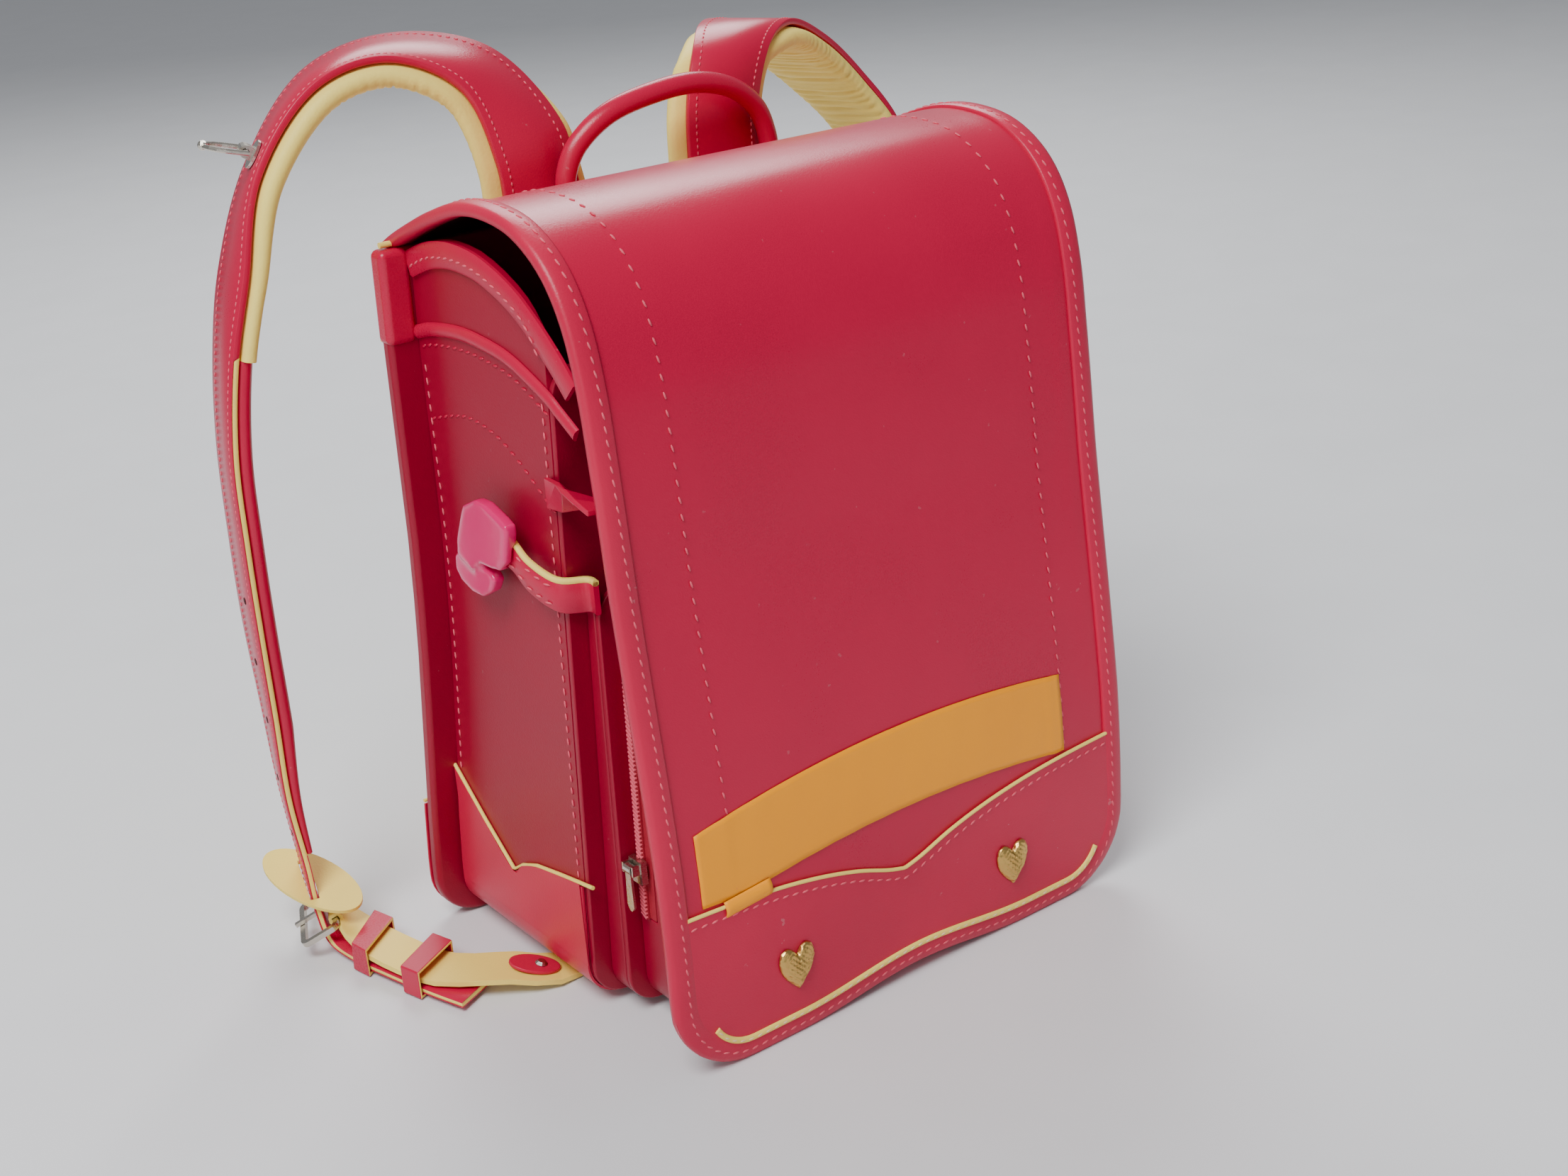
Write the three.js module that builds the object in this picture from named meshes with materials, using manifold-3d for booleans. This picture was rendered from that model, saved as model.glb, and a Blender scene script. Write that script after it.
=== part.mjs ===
// A school ransel: a stiff leather satchel for the back, with a full-length flap, box-shaped
// compartments, a padded back, a rolled handle and two padded shoulder straps with buckles.
// Millimetres, +X to the wearer's right as seen from the flap, +Y to the back panel, +Z up.
import * as THREE from 'three';
import { mergeVertices } from 'three/addons/utils/BufferGeometryUtils.js';
import Module from 'manifold-3d';

const wasm = await Module();
wasm.setup();

// Overall sizes
const HEIGHT = 360;
const DEPTH = 188;
const BODY_WIDTH = 249;
const FLAP_OVERHANG = 6.5;
const FLAP_WIDTH = BODY_WIDTH + 2 * FLAP_OVERHANG;
const BACK_OVERHANG = 13.5;
const BACK_WIDTH = BODY_WIDTH + 2 * BACK_OVERHANG;

// Leather, edges and clearances
const LEATHER = 3;
const TRIM_LEATHER = 1.2;
const PIPING_WIDTH = 2.6;
const PIPING_RISE = 2;
const BINDING_WIDTH = 10;
const BINDING_LEATHER = 1;
const GAP = 0.3;
const CORNER_STEPS = 5;

// Flap and what is sewn or stuck on it
const FLAP_CORNER = 38;
const FLAP_HEM_RISE = 5.5;
const FLAP_TRIM_HEIGHT = 77;
const FLAP_TRIM_DIP = 21;
const FLAP_TRIM_SHIFT = -5.5;
const HEM_STRIP_INSET = 8;
const HEM_STRIP_WIDTH = 4;
const HEM_STRIP_TOP = 24;
const TAPE_LEFT_MARGIN = 19;
const TAPE_RIGHT_MARGIN = 37;
const TAPE_LENGTH = FLAP_WIDTH - TAPE_LEFT_MARGIN - TAPE_RIGHT_MARGIN;
const TAPE_WIDTH = 38;
const TAPE_HEIGHT = 100;
const TAPE_ARCH = 9;
const TAPE_THICKNESS = 0.6;
const HEART_WIDTH = 17;
const HEART_HEIGHT = 20;
const HEART_SPREAD = 63;
const HEART_LEVEL = 34;
const HEART_THICKNESS = 3;

// Back panel
const BACK_THICKNESS = 8;
const BACK_CORNER = 24;
const BACK_PAD_THICKNESS = 7;
const BACK_PAD_SIDE = 32;
const BACK_PAD_WIDTH = BACK_WIDTH - 2 * BACK_PAD_SIDE;
const BACK_PAD_CORNER = 26;
const BACK_PAD_BOTTOM = 84;
const BACK_PAD_TOP = 292;
const BACK_TRIM_HEIGHT = 66;
const CORNER_WRAP_HEIGHT = 41;
const CORNER_WRAP_WIDTH = 13;

// Main compartment and the two pockets in front of it
const BASE_LEVEL = 5;
const BODY_CORNER = 18;
const SEAM_AT_FLOOR = 69;
const SEAM_LEAN = 0.064;
const FRONT_TOP = 300;
const RIM_WIDTH = 11.5;
const BEAD_WIDTH = 6;
const BEAD_RISE = 2.2;
const SIDE_TRIM_HEIGHT = 58;
const POCKET_SIDE = 8.5;
const POCKET_WIDTH = BODY_WIDTH - 2 * POCKET_SIDE;
const POCKET_TOP = 206;
const POCKET_FRONT = 53;
const POCKET_LEAN = 0.03;
const ZIP_POCKET_SIDE = 8;
const ZIP_POCKET_WIDTH = POCKET_WIDTH - 2 * ZIP_POCKET_SIDE;
const ZIP_POCKET_TOP = 176;
const ZIP_POCKET_FRONT = 3.5;
const ZIP_POCKET_LEAN = 0.045;
const POCKET_CORNER = 16;
const ZIP_TAPE_WIDTH = 12;
const ZIP_LOW_END = 52;
const ZIP_TEETH_WIDTH = 4;
const ZIP_TEETH_RISE = 1.4;

// Zip slider and its pull
const SLIDER_LEVEL = 77;
const SLIDER_LENGTH = 11;
const SLIDER_WIDTH = 7;
const SLIDER_THICKNESS = 3;
const PULL_PIN_RADIUS = 0.7;
const PULL_LENGTH = 20;
const PULL_WIDTH = 5;
const PULL_THICKNESS = 1.2;
const PULL_CLEARANCE = 0.4;

// Tongue and clasp under the base
const TONGUE_WIDTH = 46;
const TONGUE_THICKNESS = 2.4;
const TONGUE_RISE = 36;
const TONGUE_BEND = 4.5;
const CLASP_LENGTH = 26;
const CLASP_WIDTH = 52;

// Handle and the fitting that carries it and the straps
const HANDLE_SPAN = 112;
const HANDLE_RISE = 382;
const HANDLE_RADIUS = 4.6;
const HANDLE_SHIFT = 17;
const FITTING_WIDTH = 156;
const FITTING_HEIGHT = 20;
const FITTING_THICKNESS = 4;
const FITTING_LEVEL = 312;

// Shoulder straps
const STRAP_SPREAD = 75.5;
const STRAP_REACH = BODY_WIDTH / 2 + STRAP_SPREAD;
const STRAP_BEHIND = 190;
const STRAP_TOP = 402;
const STRAP_WIDTH = 39;
const STRAP_THICKNESS = 3;
const STRAP_STEPS = 54;
const PAD_THICKNESS = 11.5;
const PAD_OVERHANG = 7;
const PAD_START = 0.02;
const PAD_SHARE = 0.425;
const BACKING_SHARE = 0.79;
const BACKING_THICKNESS = 6;
const LOWER_WIDTH = 24;
const LOWER_THICKNESS = 2.6;
const KEEPER_WALL = 1.6;
const KEEPER_SHARES = { upper: 0.889, lower: 0.944 };
const KEEPER_ROOM = 7.8;
const GUARD_LENGTH = 58;
const GUARD_WIDTH = 27;
const GUARD_THICKNESS = 2;
const GUARD_SHARE = 0.82;
const BUCKLE_LENGTH = 38;
const BUCKLE_REACH = 20;
const BUCKLE_WIRE = 2.6;
const BUCKLE_SHARE = 0.845;
const BUCKLE_SHIFT = 1.7;
const PRONG_WIDTH = 2.2;
const PRONG_THICKNESS = 1.8;
const PATCH_LENGTH = 24;
const PATCH_WIDTH = 15;
const PATCH_THICKNESS = 1.6;
const RIVET_RADIUS = 3;

// Ring on the left strap
const RING_WIRE_RADIUS = 1.1;
const RING_WIDTH = 17;
const RING_REACH = 17;
const RING_KNOB_RADIUS = 2.2;
const HOLDER_LENGTH = 9;
const HOLDER_RADIUS = 2.8;
const HOLDER_STAND = 4.4;
const HOLDER_BASE = 13;
const RING_CLEARANCE = 0.5;
const RING_SHARE = 0.3;
const RING_TILT = 20;

// Tab with a hook on the left side, and the small twisted tab above it
const TAB_REACH = 10.5;
const TAB_WIDTH = 15;
const TAB_THICKNESS = 2.4;
const TAB_LEVEL = 197;
const HOOK_REACH = 13.5;
const HOOK_WIDTH = 52;
const HOOK_HEIGHT = 46;
const HOOK_THICKNESS = 6;
const HOOK_START = 73;
const HOOK_LEVEL = 192;
const TWIST_LEVEL = 250;
const TWIST_WIDTH = 13;

const materials = {
  red: new THREE.MeshStandardMaterial({ color: 0xd2203c, roughness: 0.38, metalness: 0 }),
  deepRed: new THREE.MeshStandardMaterial({ color: 0xb5142f, roughness: 0.42, metalness: 0 }),
  rose: new THREE.MeshStandardMaterial({ color: 0xd63a55, roughness: 0.45, metalness: 0 }),
  cream: new THREE.MeshStandardMaterial({ color: 0xf3e6b0, roughness: 0.55, metalness: 0 }),
  tape: new THREE.MeshStandardMaterial({ color: 0xf9a51e, roughness: 0.35, metalness: 0 }),
  gold: new THREE.MeshStandardMaterial({ color: 0xc9a55a, roughness: 0.3, metalness: 1 }),
  nickel: new THREE.MeshStandardMaterial({ color: 0xc8c4bc, roughness: 0.22, metalness: 1 }),
  zip: new THREE.MeshStandardMaterial({ color: 0xa3122b, roughness: 0.6, metalness: 0 }),
  pink: new THREE.MeshStandardMaterial({ color: 0xe0286e, roughness: 0.18, metalness: 0 }),
};

const X = new THREE.Vector3(1, 0, 0);
const Y = new THREE.Vector3(0, 1, 0);
const Z = new THREE.Vector3(0, 0, 1);
const bag = new THREE.Group();

// Turns a closed mesh into a solid that can be joined and cut
function solid(geometry) {
  const bare = geometry.clone();
  bare.deleteAttribute('normal');
  bare.deleteAttribute('uv');
  const merged = mergeVertices(bare, 1e-4);
  return new wasm.Manifold(new wasm.Mesh({
    numProp: 3,
    vertProperties: new Float32Array(merged.attributes.position.array),
    triVerts: new Uint32Array(merged.index.array),
  }));
}

// Adds one named piece to the bag
function add(name, body, material) {
  const mesh = body.getMesh();
  const geometry = new THREE.BufferGeometry();
  geometry.setAttribute('position', new THREE.BufferAttribute(new Float32Array(mesh.vertProperties), 3));
  geometry.setIndex(new THREE.BufferAttribute(new Uint32Array(mesh.triVerts), 1));
  geometry.computeVertexNormals();
  const piece = new THREE.Mesh(geometry, material);
  piece.name = name;
  bag.add(piece);
}

// An outline carried straight out, with points closer than a hair merged
function extruded(outline, length, steps = CORNER_STEPS) {
  const points = outline instanceof THREE.Shape ? outline.getPoints(steps) : outline;
  const hair = 1e-3;
  const clean = points.filter((point, i) => point.distanceTo(points[(i + 1) % points.length]) > hair);
  return new THREE.ExtrudeGeometry(new THREE.Shape(clean), { depth: length, bevelEnabled: false });
}

// A side-view outline in (y, z), carried across the bag from one x to another
function acrossX(outline, from, to) {
  const geometry = extruded(outline, to - from);
  geometry.applyMatrix4(new THREE.Matrix4().makeBasis(Y, Z, X));
  return solid(geometry.translate(from, 0, 0));
}

// A front-view outline in (x, z), carried back from one y to another
function acrossY(outline, from, to) {
  const geometry = extruded(outline, to - from);
  geometry.applyMatrix4(new THREE.Matrix4().makeBasis(X, Z, Y.clone().negate()));
  return solid(geometry.translate(0, to, 0));
}

// A plan-view outline in (x, y), carried up from one z to another
function acrossZ(outline, from, to) {
  return solid(extruded(outline, to - from).translate(0, 0, from));
}

// The rows of a table of shares as a smooth line in the side view
function sideLine(table, depth, height, steps) {
  const points = table.map((row) => new THREE.Vector2(row.y * depth, row.z * height));
  return new THREE.SplineCurve(points).getPoints(steps);
}

// A line moved sideways, to the left of its own direction
function moved(line, distance) {
  return line.map((point, i) => {
    const ahead = line[Math.min(i + 1, line.length - 1)];
    const behind = line[Math.max(i - 1, 0)];
    const along = ahead.clone().sub(behind).normalize();
    return new THREE.Vector2(point.x - along.y * distance, point.y + along.x * distance);
  });
}

// The strip between two sideways moves of one line
function strip(line, from, to) {
  return [...moved(line, from), ...moved(line, to).reverse()];
}

// An upright panel with rounded corners, in the front view
function panel(half, bottom, top, lowRadius, highRadius) {
  const shape = new THREE.Shape();
  shape.moveTo(-half, bottom + lowRadius);
  shape.absarc(-half + lowRadius, bottom + lowRadius, lowRadius, Math.PI, Math.PI * 1.5, false);
  shape.absarc(half - lowRadius, bottom + lowRadius, lowRadius, Math.PI * 1.5, Math.PI * 2, false);
  shape.absarc(half - highRadius, top - highRadius, highRadius, 0, Math.PI / 2, false);
  shape.absarc(-half + highRadius, top - highRadius, highRadius, Math.PI / 2, Math.PI, false);
  shape.closePath();
  return shape;
}

// A slab between two leaning planes y = at + lean * z, seen from the side
function leaning(front, back, bottom, top) {
  return [
    new THREE.Vector2(front(bottom), bottom),
    new THREE.Vector2(back(bottom), bottom),
    new THREE.Vector2(back(top), top),
    new THREE.Vector2(front(top), top),
  ];
}

// A closed mesh through rings of points; a loop joins its last ring to its first
function loft(rings, loop = false) {
  const count = rings[0].length;
  const position = rings.flat().flatMap((point) => point.toArray());
  const index = [];
  const spans = loop ? rings.length : rings.length - 1;
  for (let row = 0; row < spans; row += 1) {
    const next = (row + 1) % rings.length;
    for (let i = 0; i < count; i += 1) {
      const j = (i + 1) % count;
      index.push(row * count + i, row * count + j, next * count + j);
      index.push(row * count + i, next * count + j, next * count + i);
    }
  }
  if (!loop) {
    const last = (rings.length - 1) * count;
    for (let i = 1; i < count - 1; i += 1) {
      index.push(0, i + 1, i);
      index.push(last, last + i, last + i + 1);
    }
  }
  const geometry = new THREE.BufferGeometry();
  geometry.setAttribute('position', new THREE.Float32BufferAttribute(position, 3));
  geometry.setIndex(volume(position, index) < 0 ? index.reverse() : index);
  return solid(geometry);
}

// Six times the signed volume inside a triangle mesh
function volume(position, index) {
  const corner = (i) => new THREE.Vector3().fromArray(position, index[i] * 3);
  let sum = 0;
  for (let i = 0; i < index.length; i += 3) {
    sum += corner(i).dot(corner(i + 1).cross(corner(i + 2)));
  }
  return sum;
}

// A round bar along a list of points
function roundBar(points, radius, sides, loop = false) {
  const path = new THREE.CatmullRomCurve3(points, loop);
  const steps = points.length * 2;
  const frames = path.computeFrenetFrames(steps, loop);
  const rings = [];
  for (let row = 0; row < (loop ? steps : steps + 1); row += 1) {
    const centre = path.getPointAt(row / steps);
    const ring = [];
    for (let i = 0; i < sides; i += 1) {
      const angle = (2 * Math.PI * i) / sides;
      ring.push(centre.clone()
        .addScaledVector(frames.normals[row], radius * Math.cos(angle))
        .addScaledVector(frames.binormals[row], radius * Math.sin(angle)));
    }
    rings.push(ring);
  }
  return loft(rings, loop);
}

// A local frame: a matrix from right, up and out axes and an origin
function seat(right, up, out, origin) {
  return new THREE.Matrix4().makeBasis(right, up, out).setPosition(origin);
}

function placed(geometry, matrix) {
  return solid(geometry.clone().applyMatrix4(matrix));
}

// Flap: inner face in the side view, from the front hem over the crest to the back seam
const flapTable = [
  { y: -0.024, z: -0.01 },
  { y: -0.024, z: 0.09 },
  { y: -0.022, z: 0.175 },
  { y: -0.014, z: 0.265 },
  { y: 0.002, z: 0.35 },
  { y: 0.02, z: 0.434 },
  { y: 0.04, z: 0.52 },
  { y: 0.057, z: 0.6 },
  { y: 0.07, z: 0.68 },
  { y: 0.084, z: 0.755 },
  { y: 0.1, z: 0.825 },
  { y: 0.133, z: 0.892 },
  { y: 0.193, z: 0.942 },
  { y: 0.287, z: 0.975 },
  { y: 0.394, z: 0.987 },
  { y: 0.511, z: 0.985 },
  { y: 0.638, z: 0.966 },
  { y: 0.729, z: 0.948 },
  { y: 0.812, z: 0.93 },
];
const flapLine = sideLine(flapTable, DEPTH, HEIGHT, 28);
const flapFar = DEPTH;
const flapFront = -DEPTH * 0.2;

// The flap's edge in the front view: round corners and a hem that rises in the middle
function flapOutline(inset, hemInset, top) {
  const half = FLAP_WIDTH / 2 - inset;
  const radius = FLAP_CORNER - Math.max(inset, hemInset);
  const level = hemInset;
  const flat = half - radius;
  const shape = new THREE.Shape();
  shape.moveTo(-half, level + radius);
  shape.absarc(-flat, level + radius, radius, Math.PI, Math.PI * 1.5, false);
  shape.lineTo(-flat * 0.72, level);
  shape.quadraticCurveTo(-flat * 0.4, level + FLAP_HEM_RISE, 0, level + FLAP_HEM_RISE);
  shape.quadraticCurveTo(flat * 0.4, level + FLAP_HEM_RISE, flat * 0.72, level);
  shape.lineTo(flat, level);
  shape.absarc(flat, level + radius, radius, Math.PI * 1.5, Math.PI * 2, false);
  shape.lineTo(half, top);
  shape.lineTo(-half, top);
  shape.closePath();
  return shape;
}

// A layer of the flap, from one distance off its inner face to another
function flapLayer(outline, from, to, back = flapFar) {
  const layer = acrossX(strip(flapLine, from, to), -FLAP_WIDTH, FLAP_WIDTH);
  return layer.intersect(acrossY(outline, flapFront, back));
}

const flapTop = HEIGHT * 1.1;
const layerStart = LEATHER + GAP;
const frontOnly = DEPTH * 0.12;
add('flap', flapLayer(flapOutline(0, 0, flapTop), 0, LEATHER), materials.red);

const bindingHem = HEM_STRIP_INSET - 2 * GAP - BINDING_LEATHER;
const binding = flapLayer(flapOutline(0, 0, flapTop), layerStart, layerStart + BINDING_LEATHER)
  .subtract(acrossY(flapOutline(BINDING_WIDTH, bindingHem, flapTop), flapFront, flapFar));
add('flap_binding', binding, materials.red);

// Lower trim of a face: its top edge is a bracket that dips to a point in the middle
function bracketEdge(half, level, dip, shift) {
  const rows = [
    { across: 1, drop: 0 },
    { across: 0.83, drop: 0.05 },
    { across: 0.69, drop: 0.11 },
    { across: 0.54, drop: 0.21 },
    { across: 0.38, drop: 0.37 },
    { across: 0.22, drop: 0.6 },
    { across: 0.08, drop: 0.88 },
    { across: 0, drop: 1 },
  ];
  const place = (side) => (row) => new THREE.Vector2(
    side * row.across * half + shift * (1 - row.across),
    level - row.drop * dip,
  );
  return [...rows.map(place(-1)), ...rows.slice(0, -1).reverse().map(place(1))];
}

const trimHalf = FLAP_WIDTH / 2 - BINDING_WIDTH - GAP;
const trimEdge = bracketEdge(trimHalf, FLAP_TRIM_HEIGHT, FLAP_TRIM_DIP, FLAP_TRIM_SHIFT);
const belowTrimEdge = [
  ...moved(trimEdge, -PIPING_WIDTH / 2 - GAP),
  new THREE.Vector2(trimHalf, -HEIGHT),
  new THREE.Vector2(-trimHalf, -HEIGHT),
];
const insideBinding = flapOutline(BINDING_WIDTH + GAP, bindingHem + GAP, flapTop);
const trimFace = acrossY(insideBinding, flapFront, frontOnly).intersect(
  acrossY(belowTrimEdge, flapFront, frontOnly),
);

// The pale strip sewn along the hem, parallel to it, and the groove left for it in the trim
function hemBand(clearance) {
  const side = HEM_STRIP_INSET + BINDING_WIDTH * 0.7 - clearance;
  const hem = HEM_STRIP_INSET - clearance;
  const width = HEM_STRIP_WIDTH + 2 * clearance;
  return acrossY(flapOutline(side, hem, flapTop), flapFront, frontOnly)
    .subtract(acrossY(flapOutline(side + width, hem + width, flapTop), -DEPTH, DEPTH))
    .intersect(acrossY(panel(FLAP_WIDTH, -HEIGHT, HEM_STRIP_TOP + clearance, 1, 1), -DEPTH, DEPTH));
}

function flapFacing(face, from, to) {
  return acrossX(strip(flapLine, from, to), -FLAP_WIDTH, FLAP_WIDTH).intersect(face);
}

add(
  'flap_trim',
  flapFacing(trimFace.subtract(hemBand(GAP)), layerStart, layerStart + TRIM_LEATHER),
  materials.rose,
);
add('hem_strip', flapFacing(hemBand(0), layerStart, layerStart + TRIM_LEATHER + 0.5), materials.cream);
add(
  'flap_piping',
  flapFacing(
    acrossY(strip(trimEdge, -PIPING_WIDTH / 2, PIPING_WIDTH / 2), flapFront, frontOnly),
    layerStart,
    layerStart + PIPING_RISE,
  ),
  materials.cream,
);

// Bright tape across the flap above the trim, in a shallow arch
const tapeStart = TAPE_LEFT_MARGIN - FLAP_WIDTH / 2;
const tapeRows = Array.from({ length: 13 }, (_, i) => i / 12);
const tapeMiddle = tapeRows.map((share) => new THREE.Vector2(
  tapeStart + share * TAPE_LENGTH,
  TAPE_HEIGHT - TAPE_ARCH * (2 * share - 1.1) ** 2 + TAPE_ARCH * 0.35,
));
const tapeFace = acrossY(strip(tapeMiddle, -TAPE_WIDTH / 2, TAPE_WIDTH / 2), flapFront, frontOnly)
  .subtract(acrossY(
    [
      ...moved(trimEdge, PIPING_WIDTH / 2 + GAP),
      new THREE.Vector2(FLAP_WIDTH, -HEIGHT),
      new THREE.Vector2(-FLAP_WIDTH, -HEIGHT),
    ],
    flapFront,
    frontOnly,
  ));
add('tape', flapFacing(tapeFace, layerStart, layerStart + TAPE_THICKNESS), materials.tape);

// Heart-shaped studs on the trim
function heart(width, height) {
  const w = width / 2;
  const shape = new THREE.Shape();
  shape.moveTo(0, -height / 2);
  shape.bezierCurveTo(w * 0.35, -height * 0.3, w, -height * 0.12, w, height * 0.2);
  shape.bezierCurveTo(w, height * 0.55, w * 0.15, height * 0.62, 0, height * 0.27);
  shape.bezierCurveTo(-w * 0.15, height * 0.62, -w, height * 0.55, -w, height * 0.2);
  shape.bezierCurveTo(-w, -height * 0.12, -w * 0.35, -height * 0.3, 0, -height / 2);
  return shape;
}

const heartBevel = 1.4;
for (const [side, sign] of [['left', -1], ['right', 1]]) {
  const geometry = new THREE.ExtrudeGeometry(
    heart(HEART_WIDTH - 2 * heartBevel, HEART_HEIGHT - 2 * heartBevel),
    {
      depth: HEART_THICKNESS - heartBevel,
      bevelSize: heartBevel,
      bevelThickness: heartBevel,
      bevelSegments: 2,
      curveSegments: CORNER_STEPS,
    },
  );
  const face = flapLine[0].x - layerStart - TRIM_LEATHER - GAP - heartBevel;
  const place = new THREE.Vector3(sign * HEART_SPREAD + FLAP_TRIM_SHIFT, face, HEART_LEVEL);
  const matrix = seat(X, Z, Y.clone().negate(), place);
  add(`heart_stud_${side}`, placed(geometry, matrix), materials.gold);
}

// Back panel: its rear face in the side view, from the top down
const backTable = [
  { y: 0.845, z: 0.926 },
  { y: 0.858, z: 0.81 },
  { y: 0.864, z: 0.7 },
  { y: 0.868, z: 0.6 },
  { y: 0.882, z: 0.5 },
  { y: 0.902, z: 0.41 },
  { y: 0.93, z: 0.31 },
  { y: 0.962, z: 0.21 },
  { y: 0.988, z: 0.12 },
  { y: 1, z: 0.04 },
  { y: 1.002, z: -0.03 },
];
const backLine = sideLine(backTable, DEPTH, HEIGHT, 12);
const backTop = 0.926 * HEIGHT;
const backFar = DEPTH * 1.4;

function backLayer(outline, from, to, near = 0) {
  return acrossX(strip(backLine, from, to), -BACK_WIDTH, BACK_WIDTH)
    .intersect(acrossY(outline, near, backFar));
}

const backOutline = panel(BACK_WIDTH / 2, 0, backTop * 1.1, BACK_CORNER, 4);
add('back_panel', backLayer(backOutline, -BACK_THICKNESS, 0), materials.deepRed);

// Soft pad on the wearer's side
const padOutline = panel(BACK_PAD_WIDTH / 2, BACK_PAD_BOTTOM, BACK_PAD_TOP, BACK_PAD_CORNER, BACK_PAD_CORNER);
add('back_pad', backLayer(padOutline, GAP, GAP + BACK_PAD_THICKNESS), materials.cream);

const backTrimHalf = BACK_WIDTH / 2;
const backTrimEdge = bracketEdge(backTrimHalf, BACK_TRIM_HEIGHT, FLAP_TRIM_DIP * 0.7, 0);
const belowBackEdge = acrossY([
  ...moved(backTrimEdge, -PIPING_WIDTH / 2 - GAP),
  new THREE.Vector2(backTrimHalf, -HEIGHT),
  new THREE.Vector2(-backTrimHalf, -HEIGHT),
], 0, backFar);
add(
  'back_trim',
  backLayer(backOutline, GAP, GAP + TRIM_LEATHER).intersect(belowBackEdge),
  materials.rose,
);
add(
  'back_piping',
  backLayer(strip(backTrimEdge, -PIPING_WIDTH / 2, PIPING_WIDTH / 2), GAP, GAP + PIPING_RISE),
  materials.cream,
);

// Cream piping along the top seam, where the flap is sewn to the back panel
const seamRadius = PIPING_WIDTH / 2;
const seamPipe = new THREE.CylinderGeometry(seamRadius, seamRadius, BACK_WIDTH - 4, 10);
const flapEnd = flapLine[flapLine.length - 1];
add(
  'top_piping',
  placed(seamPipe, seat(Y, X, Z.clone().negate(), new THREE.Vector3(
    0,
    flapEnd.x + seamRadius + GAP * 2,
    backTop + seamRadius + GAP,
  ))),
  materials.cream,
);

// Leather wraps that guard the two top corners of the back panel
const wrapBottom = backTop - CORNER_WRAP_HEIGHT;
for (const [side, sign] of [['left', -1], ['right', 1]]) {
  const outer = BACK_WIDTH / 2 + GAP + TRIM_LEATHER;
  const inner = BACK_WIDTH / 2 - CORNER_WRAP_WIDTH;
  const around = acrossX(
    strip(backLine, -BACK_THICKNESS - GAP - TRIM_LEATHER, GAP + TRIM_LEATHER),
    sign < 0 ? -outer : inner,
    sign < 0 ? -inner : outer,
  );
  const cutter = acrossX(
    strip(backLine, -BACK_THICKNESS - GAP, GAP),
    -BACK_WIDTH / 2 - GAP,
    BACK_WIDTH / 2 + GAP,
  );
  const band = acrossZ(panel(outer, 0, backFar, 1, 1), wrapBottom, backTop - GAP);
  const clearOfBody = acrossZ(panel(BODY_WIDTH / 2 + GAP * 2, 0, backFar * 0.62, 1, 1), 0, HEIGHT);
  add(
    `corner_wrap_${side}`,
    around.subtract(cutter).intersect(band).subtract(clearOfBody),
    materials.red,
  );
}

// Leaning planes of the compartments
const seamAt = (z) => SEAM_AT_FLOOR - SEAM_LEAN * z;
const seamFront = (z) => seamAt(z) - LEATHER;
const pocketSeam = (z) => POCKET_FRONT - POCKET_LEAN * z;
const pocketFace = (z) => pocketSeam(z) - LEATHER;
const zipSeam = (z) => ZIP_POCKET_FRONT + ZIP_POCKET_LEAN * z;
const zipFace = (z) => zipSeam(z) - LEATHER * 0.9;
const apart = (plane, distance) => (z) => plane(z) + distance;

// A wall of leather that runs down one side, under the base and up the other side
function wrapped(half, bottom, radius, start, thickness, top) {
  const outside = acrossY(
    panel(half + start + thickness, bottom - start - thickness, top * 2, radius + start + thickness, 1),
    -DEPTH,
    DEPTH * 2,
  );
  const inside = acrossY(
    panel(half + start, bottom - start, top * 3, radius + start, 1),
    -DEPTH * 2,
    DEPTH * 3,
  );
  return outside.subtract(inside);
}

// Main gusset: an S-shaped top rim falls from the back panel to the front seam
const rimTable = [
  { y: 0.262, z: 0.864 },
  { y: 0.3, z: 0.889 },
  { y: 0.347, z: 0.909 },
  { y: 0.423, z: 0.928 },
  { y: 0.505, z: 0.941 },
  { y: 0.59, z: 0.945 },
  { y: 0.654, z: 0.943 },
  { y: 0.718, z: 0.936 },
  { y: 0.8, z: 0.92 },
];
const rimLine = sideLine(rimTable, DEPTH, HEIGHT, 14);
const gussetBack = moved(backLine, -BACK_THICKNESS - GAP).filter((point) => point.y < rimLine.at(-1).y);
const gussetSide = [
  new THREE.Vector2(seamAt(-HEIGHT) + GAP, -HEIGHT),
  ...rimLine.map((point) => new THREE.Vector2(Math.max(point.x, seamAt(point.y) + GAP), point.y)),
  ...gussetBack,
];
const bodyHalf = BODY_WIDTH / 2;
const bodyShell = wrapped(bodyHalf - LEATHER, BASE_LEVEL + LEATHER, BODY_CORNER - LEATHER, 0, LEATHER, HEIGHT);
add(
  'main_gusset',
  bodyShell.intersect(acrossX(gussetSide, -BACK_WIDTH, BACK_WIDTH)),
  materials.deepRed,
);

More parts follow.
